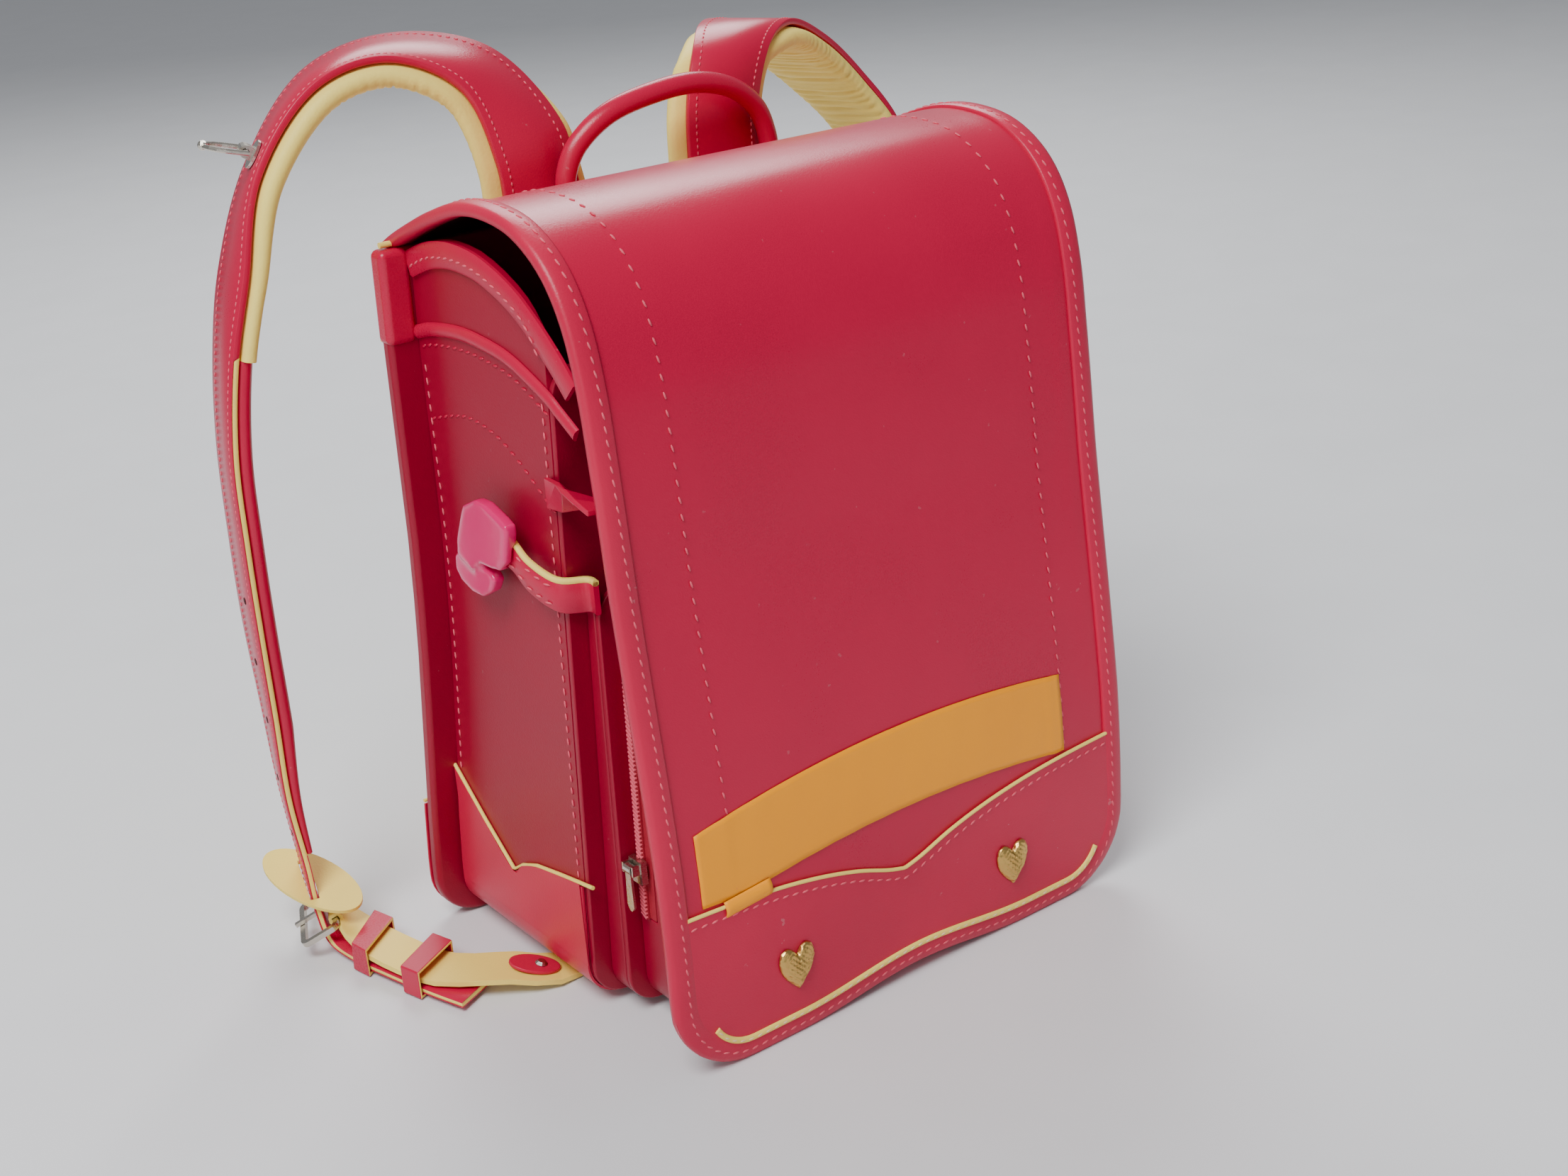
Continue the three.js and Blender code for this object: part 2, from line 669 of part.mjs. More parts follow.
// Raised bands on the two sides: the bound rim, and a sewn bead that follows it lower down
const beadTable = [
  { y: 0.27, z: 0.809 },
  { y: 0.4, z: 0.8356 },
  { y: 0.505, z: 0.845 },
  { y: 0.617, z: 0.8478 },
  { y: 0.74, z: 0.841 },
  { y: 0.81, z: 0.832 },
];
const beadLine = sideLine(beadTable, DEPTH, HEIGHT, 12);
const insideGusset = acrossX(gussetSide, -BACK_WIDTH, BACK_WIDTH);
const clearOfWrap = acrossX(moved(backLine, -BACK_THICKNESS - 3 * GAP - TRIM_LEATHER)
  .concat([new THREE.Vector2(0, -HEIGHT), new THREE.Vector2(0, HEIGHT)]), -BACK_WIDTH, BACK_WIDTH);
function sideBand(outline, rise, from, to) {
  const shell = wrapped(bodyHalf, BASE_LEVEL, BODY_CORNER, GAP, rise, HEIGHT);
  return shell.intersect(acrossX(outline, from, to)).intersect(insideGusset).intersect(clearOfWrap);
}
for (const [side, from, to] of [['left', -BACK_WIDTH, 0], ['right', 0, BACK_WIDTH]]) {
  add(`rim_band_${side}`, sideBand(strip(rimLine, -RIM_WIDTH, 0), TRIM_LEATHER, from, to), materials.red);
  add(
    `side_bead_${side}`,
    sideBand(strip(beadLine, -BEAD_WIDTH / 2, BEAD_WIDTH / 2), BEAD_RISE, from, to),
    materials.red,
  );
}

// Lower trim round the sides and base, with piping along its notched top edge
const sideEdgeTable = [
  { y: 0.3, z: 1.164 },
  { y: 0.38, z: 1.12 },
  { y: 0.449, z: 1.081 },
  { y: 0.553, z: 1.016 },
  { y: 0.624, z: 0.928 },
  { y: 0.668, z: 0.831 },
  { y: 0.784, z: 1.121 },
  { y: 0.896, z: 1.424 },
  { y: 1.02, z: 1.76 },
];
const sideEdge = sideEdgeTable.map((row) => new THREE.Vector2(row.y * DEPTH, row.z * SIDE_TRIM_HEIGHT));
const sideTrimOutline = [
  ...moved(sideEdge, -PIPING_WIDTH / 2 - GAP),
  new THREE.Vector2(DEPTH * 1.1, -HEIGHT * 0.1),
  new THREE.Vector2(DEPTH * 0.2, -HEIGHT * 0.1),
];
add('base_trim', sideBand(sideTrimOutline, TRIM_LEATHER, -BACK_WIDTH, BACK_WIDTH), materials.rose);
for (const [side, from, to] of [['left', -BACK_WIDTH, 0], ['right', 0, BACK_WIDTH]]) {
  const outline = strip(sideEdge, -PIPING_WIDTH / 2, PIPING_WIDTH / 2);
  add(`side_piping_${side}`, sideBand(outline, PIPING_RISE, from, to), materials.cream);
}

// Front of the main compartment
add(
  'front_panel',
  acrossX(leaning(seamFront, seamAt, 0, FRONT_TOP), -BACK_WIDTH, BACK_WIDTH)
    .intersect(acrossY(panel(bodyHalf, BASE_LEVEL, FRONT_TOP, BODY_CORNER, 12), -DEPTH, DEPTH)),
  materials.deepRed,
);

// Small pocket: a shallow gusset and a front, open at the top
const pocketHalf = POCKET_WIDTH / 2;
const pocketShell = wrapped(
  pocketHalf - LEATHER,
  BASE_LEVEL + LEATHER,
  POCKET_CORNER - LEATHER,
  0,
  LEATHER,
  HEIGHT,
);
add(
  'pocket_gusset',
  pocketShell.intersect(acrossX(
    leaning(apart(pocketSeam, GAP), apart(seamFront, -GAP), 0, POCKET_TOP),
    -BACK_WIDTH,
    BACK_WIDTH,
  )),
  materials.deepRed,
);
add(
  'pocket_front',
  acrossX(leaning(pocketFace, pocketSeam, 0, POCKET_TOP), -BACK_WIDTH, BACK_WIDTH)
    .intersect(acrossY(panel(pocketHalf, BASE_LEVEL, POCKET_TOP, POCKET_CORNER, 14), -DEPTH, DEPTH)),
  materials.deepRed,
);

// Zip pocket: a ring-shaped gusset closed by a zip along its rear edge, and a front
const zipHalf = ZIP_POCKET_WIDTH / 2;
function zipRing(start, thickness) {
  const outside = panel(
    zipHalf + start,
    BASE_LEVEL - start,
    ZIP_POCKET_TOP + start,
    POCKET_CORNER + start,
    POCKET_CORNER + start,
  );
  const inside = panel(
    zipHalf + start - thickness,
    BASE_LEVEL - start + thickness,
    ZIP_POCKET_TOP + start - thickness,
    POCKET_CORNER + start - thickness,
    POCKET_CORNER + start - thickness,
  );
  return acrossY(outside, -DEPTH, DEPTH).subtract(acrossY(inside, -DEPTH * 2, DEPTH * 2));
}
const zipSpan = (from, to, bottom) => acrossX(
  leaning(from, to, bottom, HEIGHT),
  -BACK_WIDTH,
  BACK_WIDTH,
);
const zipRear = apart(pocketFace, -GAP);
const zipMiddle = apart(pocketFace, -ZIP_TAPE_WIDTH / 2 - GAP);
add(
  'zip_pocket_gusset',
  zipRing(0, LEATHER)
    .intersect(zipSpan(apart(zipSeam, GAP), zipRear, 0))
    .subtract(zipSpan(apart(zipRear, -ZIP_TAPE_WIDTH - GAP), apart(zipRear, 1), ZIP_LOW_END - GAP)),
  materials.deepRed,
);
const zipTeeth = zipRing(ZIP_TEETH_RISE, ZIP_TEETH_RISE + LEATHER * 0.5).intersect(zipSpan(
  apart(zipMiddle, -ZIP_TEETH_WIDTH / 2),
  apart(zipMiddle, ZIP_TEETH_WIDTH / 2),
  ZIP_LOW_END,
));
add(
  'zipper',
  zipRing(0, LEATHER).intersect(zipSpan(apart(zipRear, -ZIP_TAPE_WIDTH), zipRear, ZIP_LOW_END)).add(zipTeeth),
  materials.zip,
);
add(
  'zip_pocket_front',
  acrossX(leaning(zipFace, zipSeam, 0, ZIP_POCKET_TOP), -BACK_WIDTH, BACK_WIDTH).intersect(acrossY(
    panel(zipHalf, BASE_LEVEL, ZIP_POCKET_TOP, POCKET_CORNER, POCKET_CORNER),
    -DEPTH,
    DEPTH,
  )),
  materials.deepRed,
);

// Slider on the left leg of the zip, with two ears and a pin, and the pull that hangs on the pin
const sliderSeat = seat(
  Y.clone().negate(),
  Z,
  X.clone().negate(),
  new THREE.Vector3(-zipHalf - ZIP_TEETH_RISE - GAP, zipMiddle(SLIDER_LEVEL), SLIDER_LEVEL),
);
const eyeOuter = PULL_PIN_RADIUS + PULL_CLEARANCE + PULL_THICKNESS;
const pinHeight = SLIDER_THICKNESS + eyeOuter + GAP;
const earGap = PULL_WIDTH / 2 + PULL_CLEARANCE;
const earWidth = 1.2;
const pinLevel = SLIDER_LENGTH * 0.2;
const sliderPlate = new THREE.BoxGeometry(SLIDER_WIDTH + 2 * earWidth, SLIDER_LENGTH, SLIDER_THICKNESS)
  .translate(0, 0, SLIDER_THICKNESS / 2);
const pin = new THREE.CylinderGeometry(PULL_PIN_RADIUS, PULL_PIN_RADIUS, 2 * (earGap + earWidth), 10)
  .rotateZ(Math.PI / 2)
  .translate(0, pinLevel, pinHeight);
let slider = placed(sliderPlate, sliderSeat).add(placed(pin, sliderSeat));
for (const sign of [-1, 1]) {
  const ear = new THREE.BoxGeometry(earWidth, 2 * eyeOuter, pinHeight + PULL_PIN_RADIUS + 0.6)
    .translate(sign * (earGap + earWidth / 2), pinLevel, (pinHeight + PULL_PIN_RADIUS + 0.6) / 2);
  slider = slider.add(placed(ear, sliderSeat));
}
add('zip_slider', slider, materials.nickel);

const eye = new THREE.CylinderGeometry(eyeOuter, eyeOuter, PULL_WIDTH, 12)
  .rotateZ(Math.PI / 2)
  .translate(0, pinLevel, pinHeight);
const eyeBore = new THREE.CylinderGeometry(
  PULL_PIN_RADIUS + PULL_CLEARANCE,
  PULL_PIN_RADIUS + PULL_CLEARANCE,
  PULL_WIDTH * 2,
  10,
).rotateZ(Math.PI / 2).translate(0, pinLevel, pinHeight);
const pullShape = new THREE.Shape();
pullShape.moveTo(-PULL_WIDTH * 0.36, 0);
pullShape.lineTo(-PULL_WIDTH / 2, -PULL_LENGTH * 0.85);
pullShape.quadraticCurveTo(0, -PULL_LENGTH * 1.12, PULL_WIDTH / 2, -PULL_LENGTH * 0.85);
pullShape.lineTo(PULL_WIDTH * 0.36, 0);
pullShape.closePath();
const pullBlade = extruded(pullShape, PULL_THICKNESS)
  .translate(0, pinLevel - PULL_PIN_RADIUS, pinHeight + PULL_PIN_RADIUS * 0.2);
add(
  'zip_pull',
  placed(eye, sliderSeat).add(placed(pullBlade, sliderSeat)).subtract(placed(eyeBore, sliderSeat)),
  materials.nickel,
);

// Tongue: a plain strap from inside the flap, round the hem and under the pockets to a plain clasp
const tongueInset = GAP + TONGUE_THICKNESS / 2;
const tongueLevel = BASE_LEVEL - GAP * 2 - TONGUE_THICKNESS / 2;
const tongueEnd = SEAM_AT_FLOOR * 0.9;
const tongueFace = flapLine[0].x + tongueInset;
const tonguePath = new THREE.Path();
tonguePath.moveTo(tongueFace, TONGUE_RISE);
tonguePath.lineTo(tongueFace, tongueLevel + TONGUE_BEND);
tonguePath.absarc(
  tongueFace + TONGUE_BEND,
  tongueLevel + TONGUE_BEND,
  TONGUE_BEND,
  Math.PI,
  Math.PI * 1.5,
  false,
);
tonguePath.lineTo(tongueEnd, tongueLevel);
const tongueLine = tonguePath.getPoints(CORNER_STEPS)
  .filter((point, i, all) => i === 0 || point.distanceTo(all[i - 1]) > GAP);
add(
  'lock_tongue',
  acrossX(strip(tongueLine, -TONGUE_THICKNESS / 2, TONGUE_THICKNESS / 2), -TONGUE_WIDTH / 2, TONGUE_WIDTH / 2),
  materials.red,
);
add(
  'lock_clasp',
  solid(new THREE.BoxGeometry(CLASP_WIDTH, CLASP_LENGTH, BASE_LEVEL - 4 * GAP - TRIM_LEATHER)
    .translate(0, tongueEnd + GAP + CLASP_LENGTH / 2, (BASE_LEVEL - TRIM_LEATHER) / 2 - GAP * 0.5)),
  materials.nickel,
);

// Fitting: one plain bar on the back panel that carries the straps and the handle
function rearAt(level) {
  const below = backLine.findIndex((point) => point.y < level);
  const low = backLine[below];
  const high = backLine[below - 1];
  return low.x + ((high.x - low.x) * (level - low.y)) / (high.y - low.y);
}
const fittingFace = Math.max(rearAt(FITTING_LEVEL), rearAt(FITTING_LEVEL + FITTING_HEIGHT)) + GAP;
add(
  'strap_fitting',
  solid(new THREE.BoxGeometry(FITTING_WIDTH, FITTING_THICKNESS, FITTING_HEIGHT).translate(
    0,
    fittingFace + FITTING_THICKNESS / 2,
    FITTING_LEVEL + FITTING_HEIGHT / 2,
  )),
  materials.nickel,
);

// Handle: a rolled leather arch that stands on the fitting and leans a little to one side
const handleRows = [
  { across: -0.5, rise: 0, back: 1 },
  { across: -0.5, rise: 0.28, back: 0.98 },
  { across: -0.44, rise: 0.58, back: 0.9 },
  { across: -0.3, rise: 0.84, back: 0.74 },
  { across: -0.1, rise: 0.97, back: 0.62 },
  { across: 0.1, rise: 1, back: 0.6 },
  { across: 0.29, rise: 0.88, back: 0.7 },
  { across: 0.43, rise: 0.62, back: 0.88 },
  { across: 0.49, rise: 0.3, back: 0.98 },
  { across: 0.5, rise: 0, back: 1 },
];
const handleFoot = backTop + 2.5 * GAP;
const strapRoot = 0.89;
const handleBack = strapRoot * STRAP_BEHIND - STRAP_THICKNESS - HANDLE_RADIUS - 1.5 * GAP;
const handleLean = 17;
const handlePoints = handleRows.map((row) => new THREE.Vector3(
  HANDLE_SHIFT + row.across * HANDLE_SPAN,
  handleBack - (1 - row.back) * handleLean,
  handleFoot + row.rise * (HANDLE_RISE - HANDLE_RADIUS - handleFoot),
));
add('handle', roundBar(handlePoints, HANDLE_RADIUS, 8), materials.red);

// Shoulder straps. Each row is a point on the strap's front edge, as shares of its reach,
// set-back and top, the direction from there to the rear edge, and the width between them.
const leftTop = [
  { out: 0.32, back: 0.89, up: 0.775, dirOut: -0.98, dirBack: 0, dirUp: 0.2, width: 1 },
  { out: 0.335, back: 0.89, up: 0.835, dirOut: -0.96, dirBack: 0.02, dirUp: 0.26, width: 1 },
  { out: 0.345, back: 0.89, up: 0.885, dirOut: -0.93, dirBack: 0.12, dirUp: 0.3, width: 1 },
  { out: 0.385, back: 0.935, up: 0.963, dirOut: -0.72, dirBack: 0.62, dirUp: 0.3, width: 1 },
  { out: 0.515, back: 0.985, up: 1, dirOut: -0.45, dirBack: 0.88, dirUp: 0.13, width: 1 },
  { out: 0.68, back: 1, up: 0.985, dirOut: -0.32, dirBack: 0.94, dirUp: 0.03, width: 0.97 },
  { out: 0.835, back: 1, up: 0.905, dirOut: -0.3, dirBack: 0.95, dirUp: 0, width: 0.9 },
  { out: 0.897, back: 1, up: 0.803, dirOut: -0.1, dirBack: 0.98, dirUp: 0, width: 0.84 },
];
const rightTop = [
  { out: 0.35, back: 0.89, up: 0.775, dirOut: -1, dirBack: 0, dirUp: 0, width: 1 },
  { out: 0.355, back: 0.89, up: 0.835, dirOut: -1, dirBack: 0.02, dirUp: 0, width: 1 },
  { out: 0.365, back: 0.89, up: 0.9, dirOut: -1, dirBack: 0.05, dirUp: 0.02, width: 1 },
  { out: 0.42, back: 0.91, up: 0.951, dirOut: -0.98, dirBack: 0.15, dirUp: 0.05, width: 1.02 },
  { out: 0.53, back: 0.96, up: 0.973, dirOut: -0.8, dirBack: 0.56, dirUp: 0.06, width: 1.04 },
  { out: 0.68, back: 1.02, up: 0.944, dirOut: -0.5, dirBack: 0.86, dirUp: 0.05, width: 1 },
  { out: 0.81, back: 1.05, up: 0.892, dirOut: -0.35, dirBack: 0.94, dirUp: 0, width: 0.93 },
  { out: 0.92, back: 1.04, up: 0.82, dirOut: -0.3, dirBack: 0.95, dirUp: 0, width: 0.86 },
];
const sideRows = [
  { out: 0.949, back: 1, up: 0.72, dirOut: -0.13, dirBack: 0.98, dirUp: 0, width: 0.76 },
  { out: 0.984, back: 1, up: 0.62, dirOut: -0.17, dirBack: 0.98, dirUp: 0, width: 0.72 },
  { out: 0.992, back: 1, up: 0.52, dirOut: -0.16, dirBack: 0.98, dirUp: 0, width: 0.7 },
  { out: 0.989, back: 1.015, up: 0.42, dirOut: -0.15, dirBack: 0.98, dirUp: 0, width: 0.67 },
  { out: 0.98, back: 1.04, up: 0.31, dirOut: -0.2, dirBack: 0.97, dirUp: 0, width: 0.65 },
  { out: 0.974, back: 1.06, up: 0.2, dirOut: -0.27, dirBack: 0.96, dirUp: 0, width: 0.63 },
  { out: 0.955, back: 1.065, up: 0.11, dirOut: -0.26, dirBack: 0.96, dirUp: 0, width: 0.61 },
  { out: 0.95, back: 1.055, up: 0.05, dirOut: -0.32, dirBack: 0.94, dirUp: 0, width: 0.59 },
  { out: 0.95, back: 1.01, up: 0.019, dirOut: -0.55, dirBack: 0.83, dirUp: 0.02, width: 0.57 },
  { out: 0.94, back: 0.92, up: 0.014, dirOut: -0.75, dirBack: 0.66, dirUp: 0, width: 0.56 },
  { out: 0.915, back: 0.8, up: 0.014, dirOut: -0.83, dirBack: 0.55, dirUp: 0, width: 0.56 },
  { out: 0.88, back: 0.66, up: 0.014, dirOut: -0.88, dirBack: 0.47, dirUp: 0, width: 0.55 },
  { out: 0.85, back: 0.56, up: 0.014, dirOut: -0.9, dirBack: 0.42, dirUp: 0, width: 0.54 },
];

// The two edge curves of a strap and, at any share along it, its section frame
function strapRoute(rows, side, wide) {
  const front = rows.map((row) => new THREE.Vector3(
    side * row.out * STRAP_REACH,
    row.back * STRAP_BEHIND,
    row.up * STRAP_TOP,
  ));
  const rear = rows.map((row, i) => new THREE.Vector3(side * row.dirOut, row.dirBack, row.dirUp)
    .normalize()
    .multiplyScalar(row.width * wide)
    .add(front[i]));
  const middle = front.map((point, i) => point.clone().lerp(rear[i], 0.5));
  const frontCurve = new THREE.CatmullRomCurve3(front, false, 'centripetal');
  const rearCurve = new THREE.CatmullRomCurve3(rear, false, 'centripetal');
  const middleCurve = new THREE.CatmullRomCurve3(middle, false, 'centripetal');
  return (share) => {
    const t = middleCurve.getUtoTmapping(share);
    const start = frontCurve.getPoint(t);
    const end = rearCurve.getPoint(t);
    const across = end.clone().sub(start);
    const width = across.length();
    across.normalize();
    const along = middleCurve.getTangent(t);
    const out = across.clone().cross(along).multiplyScalar(-side).normalize();
    return { start, across, along, out, width, middle: start.clone().lerp(end, 0.5) };
  };
}

// A length of strap between two shares of its route, on rows that all its layers have in
// common: section(frame, share) gives [across, out] pairs in millimetres
function strapLength(route, from, to, steps, section) {
  const rings = [];
  for (let row = Math.round(from * steps); row <= Math.round(to * steps); row += 1) {
    const frame = route(row / steps);
    rings.push(section(frame, (row / steps - from) / (to - from)).map(([across, out]) => frame.start
      .clone()
      .addScaledVector(frame.across, across)
      .addScaledVector(frame.out, out)));
  }
  return loft(rings);
}

const band = (inset, low, high) => (frame) => [
  [inset, low],
  [frame.width - inset, low],
  [frame.width - inset, high],
  [inset, high],
];

// Padding: full in the middle of its length and thinner at both ends, with rounded edges
const padSection = (frame, share) => {
  const thick = PAD_THICKNESS * (0.72 + 0.28 * Math.sin(Math.PI * Math.min(1, share * 1.1)));
  const half = frame.width / 2 + PAD_OVERHANG * (1 - 0.7 * share);
  const middle = frame.width / 2;
  const top = -GAP;
  return [
    [middle - half * 0.94, top],
    [middle + half * 0.94, top],
    [middle + half, top - thick * 0.3],
    [middle + half * 0.97, top - thick * 0.7],
    [middle + half * 0.84, top - thick],
    [middle - half * 0.84, top - thick],
    [middle - half * 0.97, top - thick * 0.7],
    [middle - half, top - thick * 0.3],
  ];
};

// Lower strap: from a hidden end under the base to the buckle, as shares like the strap's rows
const lowerRows = [
  { out: 0.42, back: 0.53, up: 0.0045, dirOut: -0.35, dirBack: 0.94, dirUp: 0, width: 1 },
  { out: 0.55, back: 0.5, up: 0.0042, dirOut: -0.3, dirBack: 0.95, dirUp: 0, width: 1 },
  { out: 0.64, back: 0.49, up: 0.009, dirOut: -0.42, dirBack: 0.91, dirUp: 0, width: 1 },
  { out: 0.735, back: 0.535, up: 0.021, dirOut: -0.6, dirBack: 0.8, dirUp: 0, width: 1 },
  { out: 0.87, back: 0.66, up: 0.0215, dirOut: -0.8, dirBack: 0.6, dirUp: 0, width: 1 },
  { out: 0.915, back: 0.8, up: 0.0225, dirOut: -0.83, dirBack: 0.55, dirUp: 0, width: 1 },
  { out: 0.932, back: 0.88, up: 0.025, dirOut: -0.79, dirBack: 0.61, dirUp: 0, width: 1 },
  { out: 0.938, back: 0.95, up: 0.031, dirOut: -0.66, dirBack: 0.75, dirUp: 0, width: 1 },
  { out: 0.9325, back: 1.012, up: 0.0386, dirOut: -0.45, dirBack: 0.89, dirUp: 0, width: 1 },
];

// A round wire bent into a closed outline in the (x, y) plane of a local frame
function wireLoop(outline, radius, sides, matrix) {
  const rings = outline.map((point, i) => {
    const before = point.clone().sub(outline.at(i - 1)).normalize();
    const after = outline[(i + 1) % outline.length].clone().sub(point).normalize();
    const outward = new THREE.Vector2(before.y + after.y, -before.x - after.x).normalize();
    const stretch = 1 / Math.abs(outward.dot(new THREE.Vector2(after.y, -after.x)));
    return Array.from({ length: sides }, (_, k) => {
      const angle = (2 * Math.PI * (k + 0.5)) / sides;
      const reach = radius * Math.cos(angle) * stretch;
      return new THREE.Vector3(
        point.x + outward.x * reach,
        point.y + outward.y * reach,
        radius * Math.sin(angle),
      ).applyMatrix4(matrix);
    });
  });
  return loft(rings, true);
}

// The local frame of a strap: x across it, y along it to the tail, z out of its outer face
function strapSeat(frame, side, rise) {
  const right = frame.across.clone().multiplyScalar(-side);
  const along = frame.out.clone().cross(right);
  return seat(right, along, frame.out, frame.middle.clone().addScaledVector(frame.out, rise));
}

function boxAt(matrix, width, length, height, x = 0, y = 0, z = 0) {
  return placed(new THREE.BoxGeometry(width, length, height).translate(x, y, z), matrix);
}

// The share of a route that comes nearest to a point
function nearest(route, point) {
  const count = STRAP_STEPS * 20;
  let best = 0;
  for (let i = 0; i <= count; i += 1) {
    const closer = route(i / count).middle.distanceTo(point) < route(best).middle.distanceTo(point);
    best = closer ? i / count : best;
  }
  return best;
}

// Everything on one side of the bag, on the same route
for (const [side, sign, topRows] of [['left', -1, leftTop], ['right', 1, rightTop]]) {
  const route = strapRoute([...topRows, ...sideRows], sign, STRAP_WIDTH);
  const lower = strapRoute(lowerRows, sign, LOWER_WIDTH);
  const measured = strapRoute([...leftTop, ...sideRows], sign, STRAP_WIDTH);
  const place = (share) => nearest(route, measured(share).middle);

  // Buckle: a rounded frame round the strap, its inner bar held in the lower strap's folded end,
  // and a straight prong from that bar through the strap to the outer bar
  const buckleSeat = strapSeat(route(place(BUCKLE_SHARE)), sign, STRAP_THICKNESS / 2 + BUCKLE_SHIFT);
  const buckleOutline = (inset) => {
    const half = BUCKLE_LENGTH / 2 - inset;
    const reach = BUCKLE_REACH / 2 - inset;
    return panel(half, -reach, reach, Math.max(4 - inset, 1), Math.max(4 - inset, 1));
  };
  const buckleRing = buckleOutline(0);
  buckleRing.holes.push(buckleOutline(BUCKLE_WIRE));
  const buckleFlat = new THREE.ExtrudeGeometry(
    buckleRing,
    { depth: BUCKLE_WIRE, bevelEnabled: false, curveSegments: 3 },
  ).translate(0, 0, -BUCKLE_WIRE / 2).rotateX(Math.PI / 2);
  add(`buckle_${side}`, placed(buckleFlat, buckleSeat), materials.nickel);

  const prongSide = -BUCKLE_WIRE / 2 - GAP - PRONG_THICKNESS / 2;
  const prong = (grow) => boxAt(
    buckleSeat,
    PRONG_WIDTH + 2 * grow,
    PRONG_THICKNESS + 2 * grow,
    BUCKLE_REACH + 2 * grow,
    0,
    prongSide,
    1.5,
  );
  add(`buckle_prong_${side}`, prong(0), materials.nickel);

  // The strap, its padding and the second layer below the padding
  add(
    `strap_${side}`,
    strapLength(route, 0, 1, STRAP_STEPS, band(0, 0, STRAP_THICKNESS)).subtract(prong(GAP)),
    materials.red,
  );
  add(`strap_pad_${side}`, strapLength(route, PAD_START, PAD_SHARE, STRAP_STEPS, padSection), materials.cream);
  const backingStart = PAD_SHARE + 1 / STRAP_STEPS;
  add(
    `strap_backing_${side}`,
    strapLength(route, backingStart, BACKING_SHARE, STRAP_STEPS, band(0.8, -GAP * 1.5 - BACKING_THICKNESS, -GAP * 1.5)),
    materials.red,
  );

  // Lower strap: its end is folded round the buckle's inner bar
  const barLevel = -BUCKLE_REACH / 2 + BUCKLE_WIRE / 2;
  const foldRadius = BUCKLE_WIRE / 2 + GAP + 2;
  const fold = placed(
    new THREE.CylinderGeometry(foldRadius, foldRadius, LOWER_WIDTH, 10)
      .rotateZ(Math.PI / 2)
      .translate(0, 0, barLevel),
    buckleSeat,
  );
  const barRoom = boxAt(
    buckleSeat,
    BUCKLE_LENGTH * 2,
    BUCKLE_WIRE + 2 * GAP,
    BUCKLE_WIRE + 2 * GAP,
    0,
    0,
    barLevel,
  );
  add(
    `lower_strap_${side}`,
    strapLength(lower, 0, 1, 16, band(0, -LOWER_THICKNESS / 2, LOWER_THICKNESS / 2))
      .add(fold)
      .subtract(barRoom)
      .subtract(prong(GAP)),
    materials.cream,
  );

  // Leaf-shaped guard above the buckle, with the strap through its slot
  const guardShare = place(GUARD_SHARE);
  const leafLong = new THREE.Vector3(sign * 0.35, 0.9, 0.25).normalize();
  const leafUp = new THREE.Vector3(sign * 0.09, -0.28, 0.88);
  leafUp.addScaledVector(leafLong, -leafUp.dot(leafLong)).normalize();
  const leafSeat = seat(leafLong.clone().cross(leafUp), leafLong, leafUp, route(guardShare).middle);
  const leafShape = new THREE.Shape().absellipse(0, 0, GUARD_WIDTH / 2, GUARD_LENGTH / 2, 0, Math.PI * 2);
  const strapRoom = strapLength(
    route,
    guardShare - 4 / STRAP_STEPS,
    guardShare + 3 / STRAP_STEPS,
    STRAP_STEPS,
    band(-GAP * 2, -GAP * 2, STRAP_THICKNESS + GAP * 2),
  );
  add(
    `strap_guard_${side}`,
    placed(extruded(leafShape, GUARD_THICKNESS, 20), leafSeat).subtract(strapRoom),
    materials.cream,
  );

  // Two keepers round the strap's tail and the lower strap on it
  for (const [order, measuredShare] of Object.entries(KEEPER_SHARES)) {
    const share = place(measuredShare);
    const wall = (grow, low, high) => (frame) => [
      [-GAP * 2.5 - grow, low - grow],
      [frame.width + GAP * 14 + grow, low - grow],
      [frame.width + GAP * 14 + grow, high + grow],
      [-GAP * 2.5 - grow, high + grow],
    ];
    const span = 1 / STRAP_STEPS;
    const sleeve = (grow, from, to) => strapLength(
      route,
      from,
      to,
      STRAP_STEPS,
      wall(grow, -KEEPER_ROOM, STRAP_THICKNESS + GAP),
    );
    add(
      `keeper_${order}_${side}`,
      sleeve(KEEPER_WALL, share, share + span).subtract(sleeve(0, share - span, share + 2 * span)),
      materials.red,
    );
  }

